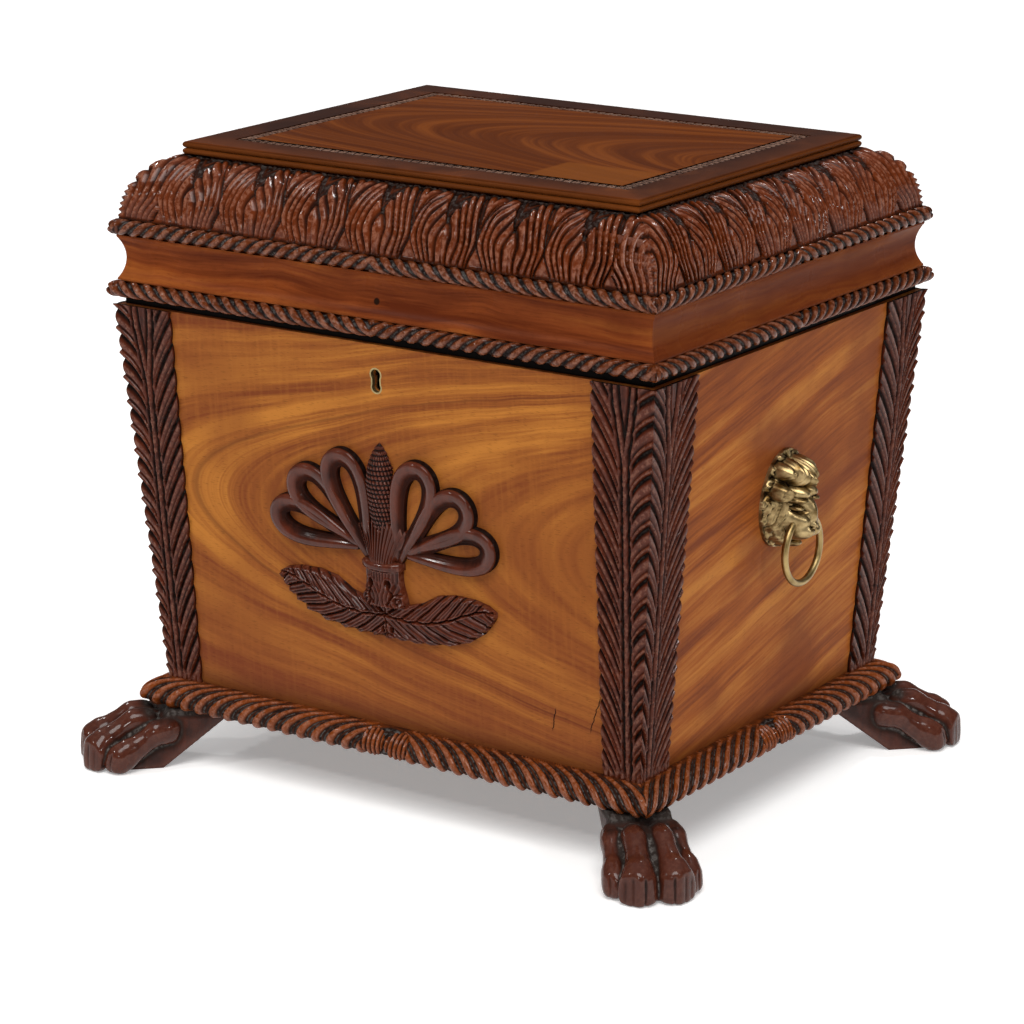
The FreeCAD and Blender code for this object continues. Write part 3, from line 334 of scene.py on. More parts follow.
class Finish:
    """One procedural material, built node by node."""

    def __init__(self, name, **constants):
        self.material = bpy.data.materials.new(name)
        self.material.use_nodes = True
        self.tree = self.material.node_tree
        self.tree.nodes.clear()
        self.shader = self.tree.nodes.new("ShaderNodeBsdfPrincipled")
        output = self.tree.nodes.new("ShaderNodeOutputMaterial")
        self.tree.links.new(self.shader.outputs[0], output.inputs[0])
        for socket, value in constants.items():
            self.shader.inputs[socket.replace("_", " ")].default_value = value

    def node(self, kind, *inputs, **settings):
        """Add a node; inputs are set or linked in order, None leaves a socket alone."""
        node = self.tree.nodes.new(kind)
        for key, value in settings.items():
            setattr(node, key, value)
        for socket, value in zip(node.inputs, inputs):
            self.feed(socket, value)
        return node

    def feed(self, socket, value):
        """Link a socket to a value of another node, or set it to a plain number or colour."""
        if isinstance(value, Value):
            self.tree.links.new(value.socket, socket)
        elif value is not None:
            socket.default_value = value

    def set(self, **sockets):
        """Feed the shader's own sockets."""
        for socket, value in sockets.items():
            self.feed(self.shader.inputs[socket.replace("_", " ")], value)

    def place(self, scale=(1, 1, 1)):
        """The place on the object, stretched."""
        coords = Value(self, self.node("ShaderNodeTexCoord").outputs["Object"])
        return Value(self, self.node("ShaderNodeMapping", coords, None, None, scale).outputs[0])

    def apart(self, vector):
        """The three coordinates of a vector."""
        return [Value(self, part) for part in self.node("ShaderNodeSeparateXYZ", vector).outputs]

    def joined(self, x, y, z):
        """A vector of three coordinates."""
        return Value(self, self.node("ShaderNodeCombineXYZ", x, y, z).outputs[0])

    def mark(self, name):
        """A number that the mesh holds for each vertex."""
        return Value(self, self.node("ShaderNodeAttribute", attribute_name=name).outputs["Fac"])

    def math(self, operation, a, b=None):
        """One sum of two numbers."""
        return Value(self, self.node("ShaderNodeMath", a, b, operation=operation).outputs[0])

    def noise(self, vector, scale, detail, rough):
        """Cloudy noise between 0 and 1."""
        node = self.node("ShaderNodeTexNoise")
        for socket, value in (("Vector", vector), ("Scale", scale), ("Detail", detail), ("Roughness", rough)):
            self.feed(node.inputs[socket], value)
        return Value(self, node.outputs["Fac"])

    def grain(self, across, along, tight, loose, detail, rough, layer=0.0):
        """Noise drawn out with the grain: tight across it and loose along it."""
        return self.noise(self.joined(across * tight, along * loose, layer), 1.0, detail, rough)

    def ramp(self, factor, *stops):
        """Colour ramp through (place, colour or grey) stops."""
        node = self.node("ShaderNodeValToRGB", factor)
        points = node.color_ramp.elements
        while len(points) < len(stops):
            points.new(0.5)
        for point, (place, shown) in zip(points, stops):
            point.position = place
            grey = isinstance(shown, (int, float))
            point.color = (shown, shown, shown, 1) if grey else (*shown, 1)
        return Value(self, node.outputs[0])

    def mix(self, factor, a, b):
        """Mix two colours."""
        node = self.node("ShaderNodeMix", data_type="RGBA", blend_type="MIX")
        self.feed(node.inputs[0], factor)
        for socket, value in ((node.inputs[6], a), (node.inputs[7], b)):
            if isinstance(value, tuple):
                value = (*value, 1)
            self.feed(socket, value)
        return Value(self, node.outputs[2])

    def blend(self, factor, a, b):
        """Mix two numbers."""
        node = self.node("ShaderNodeMix", data_type="FLOAT")
        for socket, value in zip(node.inputs[:1] + node.inputs[2:4], (factor, a, b)):
            self.feed(socket, value)
        return Value(self, node.outputs[0])

    def bumped(self, height, strength, distance):
        """Fine relief, its distance in metres."""
        node = self.node("ShaderNodeBump")
        for socket, value in (("Strength", strength), ("Distance", distance), ("Height", height)):
            self.feed(node.inputs[socket], value)
        self.tree.links.new(node.outputs[0], self.shader.inputs["Normal"])


def colour(red, green, blue):
    """A colour as it looks on screen, 0 to 255, turned to linear light."""
    levels = (red / 255, green / 255, blue / 255)
    return tuple(((level + 0.055) / 1.055) ** 2.4 if level > 10 / 255 else level / 12.92 for level in levels)


def tint(name):
    """A colour from the settings, in linear light."""
    return tuple(getattr(bpy.context.scene.cellarette_colours, name))


def shades(name):
    """The dark, middle and light colour of a figured wood."""
    return tint(name + "_dark"), tint(name + "_middle"), tint(name + "_light")


def carved_finish(name, dust, gloss=0.26, wear_and_glint=0.34, coat=0.40):
    """Carved, waxed wood: painted highlight on the crests and pale specks of wear and painted glint on the
    sharpest, painted shade and dirt in the hollows and grey dust in the deepest.
    """
    lit, body, groove = tint(name + "_crest"), tint(name + "_body"), tint(name + "_groove")
    wood = Finish(name + "_wood", Coat_Roughness=0.11, Coat_IOR=1.5, Specular_IOR_Level=0.03)
    hollow = wood.mark("hollow")
    place = wood.place()
    cloud = wood.noise(place, 34.0, 4.0, 0.6)
    streak = wood.noise(wood.place((160, 160, 30)), 1.0, 5.0, 0.6)
    patch = wood.ramp(cloud * 0.6 + streak * 0.4, (0.42, 0.0), (0.58, 1.0))
    base = wood.mix(patch, body, lit)
    # painted highlight: the crests are lighter
    base = wood.mix(wood.ramp(hollow, (0.0, 1.0), (0.30, 0.0)) * 0.75, base, lit)
    # the sharpest crests are pale in specks, of wear together with painted glints
    specks = wood.ramp(wood.noise(place, 240.0, 3.0, 0.6), (0.44, 0.0), (0.62, 1.0))
    rubbed = wood.ramp(hollow, (0.0, 1.0), (0.14, 0.0)) * specks
    base = wood.mix(rubbed * wear_and_glint, base, tint("wear_and_glint_edge"))
    # painted shade, together with dirt: the hollows turn dark
    deep = wood.ramp(hollow, (0.22, 0.0), (0.72, 1.0))
    base = wood.mix(deep, base, groove)
    # grey dust lies in the deepest places
    film = wood.ramp(hollow, (0.60, 0.0), (0.95, 1.0))
    base = wood.mix(film * specks * dust, base, tint("dust"))
    wood.set(Base_Color=base, Coat_Weight=wood.ramp(hollow, (0.12, coat), (0.42, 0.03)))
    wood.set(Roughness=wood.blend(deep, wood.blend(cloud, gloss * 0.7, gloss * 1.5), 0.62))
    wood.bumped(wood.noise(place, 150.0, 4.0, 0.6) + streak * 0.5, 0.45, 0.0011)
    return wood.material


def bands(wood, across, along, dark, middle, light, spread=1.0):
    """Ribbon figure: broad light and dark bands with fine streaks, across and along the grain."""
    broad = wood.grain(across, along, 34.0 * spread, 2.2, 4.0, 0.62)
    fine = wood.grain(across, along, 260.0 * spread, 9.0, 4.0, 0.6)
    total = broad * 0.74 + fine * 0.26
    return wood.ramp(total, (0.395, dark), (0.495, middle), (0.60, light)), total


def pores(wood, across, along, base, strength=0.5):
    """Short dark pores that run with the grain."""
    holes = wood.ramp(wood.grain(across, along, 1100.0, 130.0, 2.0, 0.5), (0.58, 0.0), (0.70, 1.0))
    return wood.mix(holes * strength, base, wood.mix(0.7, base, colour(60, 28, 14))), holes


def polished(name, coat=0.03, sheen=0.03):
    """Figured wood under old polish, still without its colour."""
    return Finish(name, Coat_Weight=coat, Coat_Roughness=0.16, Coat_IOR=1.45, Specular_IOR_Level=sheen)


def polish(wood, base, rough, total, holes, relief=0.12):
    """Give a figured wood its colour, its roughness and the relief of its grain and pores."""
    wood.set(Base_Color=base, Roughness=rough)
    wood.bumped(total - holes * 0.4, relief, 0.0004)
    return wood.material


def swirl(across, up, knot, opening):
    """Grain that runs round a knot and opens to one side: returns the across-grain coordinate.

    The lines are parabolas whose vertices lie on a level line through the knot."""
    rise = up - knot[1]
    gone = across - knot[0]
    bend = rise * rise - gone * opening
    return bend / (abs(bend) ** 0.5 + 0.03)


# Shrinkage cracks: place across at the floor, lean, middle height and half length, in metres.
CRACKS = ((0.168, 0.34, 0.138, 0.020), (0.146, 0.20, 0.125, 0.012))
# The knot's place across and up, and the dark vein's distance from it across the grain.
KNOT = (-0.19, 0.279)
VEIN = 0.021


def front_finish():
    """Front panel: golden swirl round a knot left of the middle, opening to the right."""
    dark, middle, light = shades("front")
    wood = polished("figured_front")
    coords = wood.place()
    warp = wood.noise(coords, 5.0, 3.0, 0.5)
    x, y, z = wood.apart(coords)
    across = swirl(x, z + (warp - 0.5) * 0.024, KNOT, 0.055)
    base, total = bands(wood, across, x, dark, middle, light)
    cloud = wood.noise(coords, 9.0, 3.0, 0.5)
    base = wood.mix(wood.ramp(cloud, (0.42, 0.0), (0.66, 0.5)), base, dark)
    # faint curl that stands upright
    curl = wood.noise(wood.joined(x * 210.0, 0.0, z * 16.0), 1.0, 3.0, 0.55)
    base = wood.mix(wood.ramp(curl, (0.48, 0.0), (0.66, 0.13)), base, light)
    # painted shade: the panel turns redder and darker towards the foot
    base = wood.mix(wood.ramp(z, (0.10, 1.0), (0.24, 0.0)) * 0.45, base, colour(118, 60, 38))
    # one dark vein that follows the swirl, and broad shaded bands
    vein = wood.ramp(abs(across - VEIN), (0.0, 1.0), (0.0018, 0.0))
    base = wood.mix(vein * 0.55, base, colour(84, 40, 24))
    shaded = wood.grain(across, x, 22.0, 3.0, 2.0, 0.5, 4.0)
    base = wood.mix(wood.ramp(shaded, (0.54, 0.0), (0.66, 0.6)), base, dark)
    base, holes = pores(wood, z, x, base)
    for place, lean, height, reach in CRACKS:
        base = crack(wood, base, x, z, place, lean, height, reach)
    return polish(wood, painted_foot_shade(wood, base, z), wood.blend(cloud, 0.24, 0.40), total, holes)


def crack(wood, base, x, z, place, lean, height, reach):
    """A dark shrinkage crack near the foot of the right-hand corner."""
    drift = wood.noise(wood.joined(0.0, 0.0, z * 90.0), 1.0, 3.0, 0.6)
    middle = z * lean + drift * 0.008
    gap = abs(x - middle - place)
    thin = wood.ramp(gap * 1000.0, (0.35, 1.0), (0.75, 0.0))
    within = wood.ramp(abs(z - height) * 10.0, (reach * 7, 1.0), (reach * 10, 0.0))
    return wood.mix(thin * within, base, colour(26, 12, 8))


def painted_foot_shade(wood, base, z):
    """Painted shade: the walls turn darker near their foot."""
    return wood.mix(wood.ramp(z, (0.085, 1.0), (0.105, 0.0)) * 0.5, base, colour(66, 30, 18))


def side_finish():
    """End and back panels: nearly level ribbon bands that rise a little towards the back."""
    dark, middle, light = shades("side")
    wood = polished("figured_sides", 0.02, 0.02)
    coords = wood.place()
    warp = wood.noise(coords, 4.0, 3.0, 0.5)
    x, y, z = wood.apart(coords)
    along = x + y
    across = z + warp * 0.025 - along * 0.24
    base, total = bands(wood, across, along, dark, middle, light, 1.1)
    cloud = wood.noise(coords, 8.0, 3.0, 0.5)
    base = wood.mix(wood.ramp(cloud, (0.46, 0.0), (0.62, 0.7)), base, dark)
    base, holes = pores(wood, across, along, base, 0.4)
    return polish(wood, painted_foot_shade(wood, base, z), wood.blend(cloud, 0.26, 0.42), total, holes)


# The plugged hole's height above the floor.
PLUG_HEIGHT = 0.485
# Level marks on the mouldings: the painted shadow under the lid's edge in tenths of a metre above 0.4 m, and
# the reeded edge with its painted highlight and the flat border of the top board in tenths of a metre above
# 0.5 m.
SEAM_SHADOW = ((0.47, 0.0), (0.475, 1.0), (0.555, 1.0), (0.56, 0.0))
REED_HIGHLIGHT = ((0.850, 0.0), (0.855, 0.5), (0.950, 0.5), (0.955, 0.0))
FLAT_BORDER = ((0.955, 0.0), (0.96, 1.0))


def plug(wood, x, y, z):
    """1 on a small plugged hole in the middle of the lid's front, else 0."""
    rise = z - PLUG_HEIGHT
    off = (rise * rise + x * x) ** 0.5
    return wood.ramp(off * 100.0, (0.26, 1.0), (0.36, 0.0)) * wood.ramp(y, (0.0, 1.0), (0.001, 0.0))


def moulding_finish(name, spread=1.0):
    """Polished straight-grained mouldings, with the grain along each side."""
    dark, middle, light = shades(name)
    wood = polished(name + "_wood", 0.0, 0.02)
    coords = wood.place()
    x, y, z = wood.apart(coords)
    across = z + wood.noise(coords, 7.0, 3.0, 0.5) * 0.03
    along = x + y
    base, total = bands(wood, across, along, dark, middle, light, spread)
    cloud = wood.noise(coords, 14.0, 4.0, 0.55)
    base = wood.mix(wood.ramp(cloud, (0.42, 0.0), (0.70, 0.6)), base, dark)
    base, holes = pores(wood, across, along, base, 0.4)
    # the right end and the back are darker
    base = wood.mix(wood.ramp(along, (0.056, 0.0), (0.058, 0.45)), base, dark)
    base = wood.mix(plug(wood, x, y, z), base, colour(34, 20, 12))
    # painted shadow: a black band under the lid's edge, where the lid meets the box
    base = wood.mix(wood.ramp((z - 0.4) * 10.0, *SEAM_SHADOW), base, colour(9, 5, 4))
    above = (z - 0.5) * 10.0
    # painted highlight: the reeded edge of the top board is tinted orange
    base = wood.mix(wood.ramp(above, *REED_HIGHLIGHT), base, colour(112, 58, 20))
    # painted reflection: warm orange streaks on the flat border, towards the front and the right
    front = wood.ramp(y * -1.0, (0.150, 0.0), (0.186, 1.0))
    right = wood.ramp(x, (0.215, 0.0), (0.245, 0.55))
    near = wood.math("MAXIMUM", front, right)
    streak = near * wood.ramp(above, *FLAT_BORDER) * wood.ramp(total, (0.35, 0.25), (0.60, 0.75))
    base = wood.mix(streak, base, colour(112, 54, 16))
    return polish(wood, base, wood.blend(cloud, 0.20, 0.38), total, holes)


# The patch let into the top: middle across and towards the front, and half its size both ways.
PATCH_X, PATCH_FRONT = 0.150, 0.112
PATCH_HALF_X, PATCH_HALF_Y = 0.049, 0.033


def top_finish():
    """Top panel: dark flame figure of nested arches that open to the right, and one let-in patch."""
    dark, middle, light = shades("top")
    wood = polished("figured_top", 0.0, 0.01)
    coords = wood.place()
    warp = wood.noise(coords, 5.0, 3.0, 0.5)
    x, y, z = wood.apart(coords)
    rise = y + (warp - 0.5) * 0.03 - 0.01
    across = x - rise * rise * 16.0
    base, total = bands(wood, across, rise, dark, middle, light, 0.62)
    patch_x = wood.ramp(abs(x - PATCH_X), (PATCH_HALF_X, 1.0), (PATCH_HALF_X + 0.0005, 0.0))
    patch_y = wood.ramp(abs(y + PATCH_FRONT), (PATCH_HALF_Y, 1.0), (PATCH_HALF_Y + 0.0005, 0.0))
    base = wood.mix(patch_x * patch_y * 0.65, base, colour(124, 68, 22))
    base, holes = pores(wood, across, rise, base, 0.35)
    cloud = wood.noise(coords, 12.0, 3.0, 0.5)
    return polish(wood, base, wood.blend(cloud, 0.26, 0.44), total, holes, 0.1)


def brass_finish(name, rough=0.28):
    """Old brass: rubbed bright on the crests and brown-black in the hollows."""
    brass = Finish("aged_" + name, Metallic=1.0)
    coords = brass.place()
    cloud = brass.noise(coords, 60.0, 4.0, 0.6)
    rubbed = brass.ramp(cloud, (0.35, 0.0), (0.70, 1.0))
    base = brass.mix(rubbed, tint(name + "_shade"), tint(name + "_bright"))
    deep = brass.ramp(brass.mark("hollow"), (0.30, 0.0), (0.72, 1.0))
    base = brass.mix(deep, base, colour(38, 26, 14))
    brass.set(Base_Color=base, Roughness=brass.blend(deep, brass.blend(cloud, rough * 0.8, rough * 1.5), 0.7))
    brass.bumped(brass.noise(coords, 700.0, 3.0, 0.6), 0.10, 0.0003)
    return brass.material


def inner_wood_finish():
    """Bare, plainer wood of the bottle dividers and the bottom board."""
    wood = Finish("plain_inner_wood", Specular_IOR_Level=0.3)
    x, y, z = wood.apart(wood.place())
    along = x + y
    base, total = bands(wood, z, along, colour(96, 62, 38), colour(128, 88, 56), colour(150, 108, 72))
    base, _ = pores(wood, z, along, base)
    wood.set(Base_Color=base, Roughness=wood.blend(total, 0.6, 0.75))
    wood.bumped(total, 0.2, 0.0004)
    return wood.material


def lead_finish():
    """Dull lead sheet with paler bloom and soft dents."""
    lead = Finish("lead_sheet", Metallic=0.85)
    coords = lead.place()
    cloud = lead.noise(coords, 18.0, 5.0, 0.6)
    lead.set(Base_Color=lead.ramp(cloud, (0.35, colour(92, 95, 98)), (0.65, colour(140, 142, 143))))
    lead.set(Roughness=lead.blend(cloud, 0.48, 0.70))
    lead.bumped(lead.noise(coords, 30.0, 2.0, 0.5), 0.35, 0.001)
    return lead.material


def steel_finish():
    """Dark, faintly rusted steel of the bolt, the pins and the screws."""
    steel = Finish("dark_steel", Metallic=0.9)
    cloud = steel.noise(steel.place(), 150.0, 4.0, 0.6)
    steel.set(Base_Color=steel.ramp(cloud, (0.40, colour(88, 84, 80)), (0.72, colour(104, 74, 52))))
    steel.set(Roughness=steel.blend(cloud, 0.38, 0.60))
    steel.bumped(cloud, 0.2, 0.0003)
    return steel.material


FINISHES = {}


def finish(name):
    """Each finish is made once, when it is first needed."""
    if name not in FINISHES:
        FINISHES[name] = FINISH_MAKERS[name]()
    return FINISHES[name]


FINISH_MAKERS = {
    "front": front_finish,
    "sides": side_finish,
    "top": top_finish,
    "cavetto": lambda: moulding_finish("cavetto"),
    "border": lambda: moulding_finish("border", spread=1.4),
    "cushion": lambda: carved_finish("cushion", dust=0.30),
    "rope": lambda: carved_finish("rope", dust=0.45),
    "gadroon": lambda: carved_finish("gadroon", dust=0.50),
    "strip": lambda: carved_finish("strip", dust=0.08, wear_and_glint=0.22, coat=0.30),
    "foot": lambda: carved_finish("foot", dust=0.60, gloss=0.22, wear_and_glint=0.05, coat=0.5),
    "ornament": lambda: carved_finish("ornament", dust=0.10, gloss=0.22, wear_and_glint=0.10, coat=0.55),
    "band": lambda: carved_finish("band", dust=0.90, coat=0.0),
    "brass": lambda: brass_finish("brass"),
    "ring": lambda: brass_finish("ring", rough=0.32),
    "thread": lambda: brass_finish("thread", rough=0.4),
    "inner": inner_wood_finish,
    "lead": lead_finish,
    "steel": steel_finish,
}


# ------------------------------------------------------------------ rope mouldings
# The grooves have their set depth on a rope of this radius.
ROPE_RADIUS = 7.8


def rope_carve(pitch, depth, way, radius):
    """Twisted strands that turn about at the middle of each side, a thin one beside each broad one."""
    wide = 0.80

    def carve(x, run, length):
        past = run - length / 2
        share = fract((np.abs(x) - way * past * 0.85) / pitch)
        strand = np.where(share < wide, lobe(share / wide, 2.8), 0)
        thin = np.where(share >= wide, 0.20 * lobe((share - wide) / (1 - wide), 2.0), 0)
        high = np.maximum(strand, thin)
        hollow = np.clip(1.0 - high * 1.35, 0, 1)
        return depth * (1 - high) * (radius / ROPE_RADIUS), hollow
    return carve


def build_rope(sizes, which, way):
    """Four lengths of rope and the beads where they meet at the corners."""
    low, high = box_mm(which + "_rope_front")
    radius = (high[2] - low[2]) / 2
    middle = (-low[1] - radius, (low[2] + high[2]) / 2)
    angles = np.linspace(0, -2 * math.pi, 33) + math.pi
    outer = np.stack([middle[0] + radius * np.cos(angles), middle[1] + radius * np.sin(angles)], -1)
    pitch = sizes.rope_pitch * 1000
    for side in SIDES:
        turns = 2 * (half_ridge(side) + middle[0]) / pitch
        piece = bar("carved_%s_rope_%s" % (which, side), side, int(turns * 10), outer[:-1], outer[:0],
                    rope_carve(pitch, sizes.rope_groove * 1000, way, radius))
        finish_carving(piece, "lid", "rope", "%s_rope_%s" % (which, side))
    for corner, (right, back) in CORNERS.items():
        centre = (right * (RIDGE + middle[0]), back * middle[0], middle[1])
        piece = bead("%s_rope_bead_%s" % (which, corner), centre, radius * 0.99)
        finish_carving(piece, "lid", "rope")


def bead(name, centre, radius):
    """A small knob carved with shallow petals."""
    deselect_all()
    bpy.ops.mesh.primitive_uv_sphere_add(segments=32, ring_count=20, radius=1.0)
    piece = bpy.context.object
    piece.name = name
    points = read_points(piece.data)
    turn = np.arctan2(points[:, 1], points[:, 0])
    petal = np.abs(np.sin(turn * 4)) ** 0.5
    flat = np.hypot(points[:, 0], points[:, 1])
    size = 1 - 0.05 * (1 - petal) * flat
    write_points(piece.data, (points * size[:, None] * radius + np.array(centre)) / 1000)
    write_mark(piece.data, "hollow", 0.1 + 0.6 * (1 - petal) * flat)
    return close_up(piece)


# ------------------------------------------------------------------ base moulding
# Height of the base moulding's widest line above its underside.
BELLY_RISE = 10.5


def base_outer():
    """Bulging outside of the base moulding, from the wall down to the underside."""
    shoulder = (WALL_FOOT + 3.4, BODY_FOOT)
    widest = (BASE_OUT, BASE_FOOT + BELLY_RISE)
    under = (WALL_FOOT + 17.5, BASE_FOOT)
    rise = BODY_FOOT - widest[1]
    above = (shoulder[0] + (BASE_OUT - shoulder[0]) * 0.71, widest[1] + rise * 0.71)
    below = (BASE_OUT - (BASE_OUT - under[0]) * 0.25, BASE_FOOT + BELLY_RISE * 0.42)
    line = np.concatenate([arc(shoulder, above, widest, 24), arc(widest, below, under, 12)[1:]])
    return even(line, 34)


def gadroon_carve(pitch, depth):
    """Leaning lobes with a thin reed between them, and two ribbed ovals in the middle of each side."""
    wide = 0.66

    def carve(x, run, length):
        down = run / length
        ax = np.abs(x)
        lean = 40.0 * (1 - (1 - down) ** 2.2)
        share = fract((ax - lean) / pitch)
        fat = np.where(share < wide, lobe(share / wide, 2.4), 0)
        thin = np.where(share >= wide, 0.36 * lobe((share - wide) / (1 - wide), 2.0), 0)
        high = np.maximum(fat, thin)
        oval = 1 - ((ax - 13.5) / 13.0) ** 2 - ((down - 0.56) / 0.44) ** 2
        ridges = lobe(fract((ax - 13.5) / 5.2 + 0.5 + 0.4 * down), 2.0) * 0.9
        inside = smooth(0.0, 0.14, oval)
        rim = 1 - smooth(0.0, 0.10, np.abs(oval - 0.02))
        beside = smooth(16.0, 11.0, ax) * (1 - inside)
        high = (high * (1 - inside) + ridges * inside) * (1 - rim * 0.8) * (1 - 0.7 * beside)
        fade = smooth(0.0, 0.12, down)
        return depth * (1 - high) * fade, np.clip(1.1 - high * 1.6, 0, 1) * (0.5 + 0.5 * fade)
    return carve


def build_base(sizes):
    """The gadrooned base moulding on all four sides."""
    outer = base_outer()
    inner_reach = -BASE[1][1]
    inner = np.array([(inner_reach, BASE_FOOT), (inner_reach, BODY_FOOT)])
    pitch = sizes.gadroon_pitch * 1000
    for side in SIDES:
        lobes = 2 * (half_ridge(side) + BASE_OUT) / pitch
        piece = bar("gadroon_moulding_" + side, side, int(lobes * 15), outer, inner,
                    gadroon_carve(pitch, sizes.gadroon_depth * 1000))
        finish_carving(piece, "carcase", "gadroon", "base_moulding_" + side)


# ------------------------------------------------------------------ leaf-carved cushion
def ribs(share):
    """Sharp-crested ribs, one to each whole step of the share."""
    return 1 - np.abs(2 * fract(share) - 1)


def nested(x, y, start, closing):
    """Which of the nested pointed arches a place lies on: 0 at the core, 1 on the leaf's edge."""
    bow = 0.76 + 0.24 * smooth(0.0, 0.32, y)
    return ((np.abs(x) / bow) ** 1.35 + (closing * np.maximum(y - start, 0)) ** 1.35) ** (1 / 1.35)


def strands(level, count):
    """Height of rounded, sharp-edged strands, one to each step of the level, and their painted shade and
    dirt.
    """
    c = fract(level * count)
    high = 0.08 + 0.72 * lobe(c, 1.7) + 0.20 * ribs(2 * c + 0.1) * lobe(c, 2.0)
    return high, np.clip(0.85 - high * 1.2, 0, 1)


def ground(high, shade_and_dirt, level, y):
    """Let the smooth ground show beside a leaf's foot."""
    beyond = (level > 1) & (y < 0.42)
    edge = smooth(1.0, 1.07, level)
    return np.where(beyond, 0.30 * edge, high), np.where(beyond, 0.8 - 0.78 * edge, shade_and_dirt)


def palmette(x, y):
    """Height of one leaf and its painted shade and dirt, over x from -1 to 1 and y from 0 at its foot to 1 at
    its top. A notch in its top cuts the strands and holds a smaller leaf, dark with painted shade and dust."""
    ax = np.abs(x)
    level = nested(x, y, 0.30, 0.90)
    high, shade_and_dirt = strands(level + 0.045 * np.sin(7 * x + 5 * y), 4.7)
    rim = np.exp(-((level - 1.0) / 0.03) ** 2)
    high, shade_and_dirt = high * (1 - 0.8 * rim), np.maximum(shade_and_dirt, 0.9 * rim)
    high, shade_and_dirt = ground(high, shade_and_dirt, level, y)
    inset = 0.36 * np.clip((y - 0.47) / 0.53, 0, 1) ** 0.9 - ax
    veins = ribs(4.5 * y - 5.0 * ax)
    dagger = smooth(0.0, 0.05, inset) * (0.30 + 0.25 * veins + 0.30 * np.exp(-(ax / 0.03) ** 2))
    high = np.where(inset > 0, dagger, high)
    shade_and_dirt = np.where(inset > 0, 0.95 - 0.6 * veins * smooth(0.0, 0.10, inset), shade_and_dirt)
    return high, shade_and_dirt


def corner_leaf(q, y):
    """Height, painted shade and dirt of the leaf folded round a corner: nested arches about a knotted core.
    """
    level = nested(q, y, 0.25, 0.85)
    high, shade_and_dirt = strands(level + 0.02 * np.sin(11 * y), 5.6)
    core = np.exp(-(q / 0.07) ** 2) * smooth(0.44, 0.36, y)
    high = high * (1 - core) + core * (0.45 + 0.5 * ribs(y * 14))
    return ground(high, shade_and_dirt, level, y)


# From the mitre to the edge of the leaf that is folded round a corner.
CORNER_LEAF_HALF = 47.0


def leaf_carve(side, pitch, count, depth, top_reach, foot_reach):
    """A row of palmettes and half a corner leaf at each end."""
    limit = count * pitch / 2

    def carve(x, run, length):
        y = 1 - run / length
        reach = top_reach + (foot_reach - top_reach) * np.cos(y * math.pi / 2)
        mitre = half_ridge(side) + reach
        ax = np.abs(x)
        local = fract(ax / pitch + (0.5 if count % 2 else 0.0)) * 2 - 1
        high, shade_and_dirt = palmette(local, y)
        high_corner, shade_and_dirt_corner = corner_leaf((mitre - ax) / CORNER_LEAF_HALF, y)
        at_corner = ax > limit
        high = np.where(at_corner, high_corner, high)
        shade_and_dirt = np.where(at_corner, shade_and_dirt_corner, shade_and_dirt)
        fade = smooth(0.0, 0.03, y) * smooth(0.0, 0.02, 1 - y)
        # painted shade and dust: a dark band under the top board's edge and another above the rope
        shade_and_dirt = np.maximum(shade_and_dirt, 0.75 * smooth(0.90, 0.99, y) + 0.6 * smooth(0.05, 0.0, y))
        return depth * (1 - high) * (0.35 + 0.65 * fade), shade_and_dirt
    return carve


def build_cushion(sizes):
    """The swelling, leaf-carved sides of the lid."""
    foot_reach = -CUSHION[0][1]
    top_reach = -BOARD[0][1] - 0.8
    angle = np.linspace(math.pi / 2, 0, 60)
    height = CUSHION[1][2] - CUSHION[0][2]
    reach = top_reach + (foot_reach - top_reach) * np.cos(angle)
    outer = even(np.stack([reach, CUSHION[0][2] + height * np.sin(angle)], -1), 88)
    inner = np.array([(-box_mm("cavetto_front")[1][1], CUSHION[0][2]), (top_reach - 27.0, CUSHION[1][2])])
    counts = {"front": 7, "back": 7, "right": 6, "left": 6}
    for side in SIDES:
        count = counts[side]
        pitch = (sizes.long_leaf_pitch if count == 7 else sizes.short_leaf_pitch) * 1000
        rows = int(2 * (half_ridge(side) + foot_reach) / 1.06)
        carve = leaf_carve(side, pitch, count, sizes.leaf_depth * 1000, top_reach, foot_reach)
        piece = bar("leaf_carved_cushion_" + side, side, rows, outer, inner, carve, 70.0)
        finish_carving(piece, "lid", "cushion", "leaf_cushion_" + side)


# ------------------------------------------------------------------ corner leaves
# Steps across the carved face of a strip.
STRIP_STEPS = 64
# Distance of a strip's vein from the corner, at its foot and at its top.
VEIN_OFF = (14.4, 33.0)


def between(ends, share):
    """A value on the way from the first end to the second."""
    return ends[0] + (ends[1] - ends[0]) * share


def leaflet(rise, pitch):
    """Feathered leaflets that climb outwards from the vein: a sharp crest, then a broader lobe."""
    share = fract(rise / pitch)
    crest = np.where((share > 0.03) & (share < 0.37), lobe((share - 0.03) / 0.34, 1.5), 0)
    broad = np.where((share > 0.24) & (share < 0.97), 0.74 * lobe((share - 0.24) / 0.73, 2.2), 0)
    return np.clip(np.maximum(crest, broad), 0, 1)


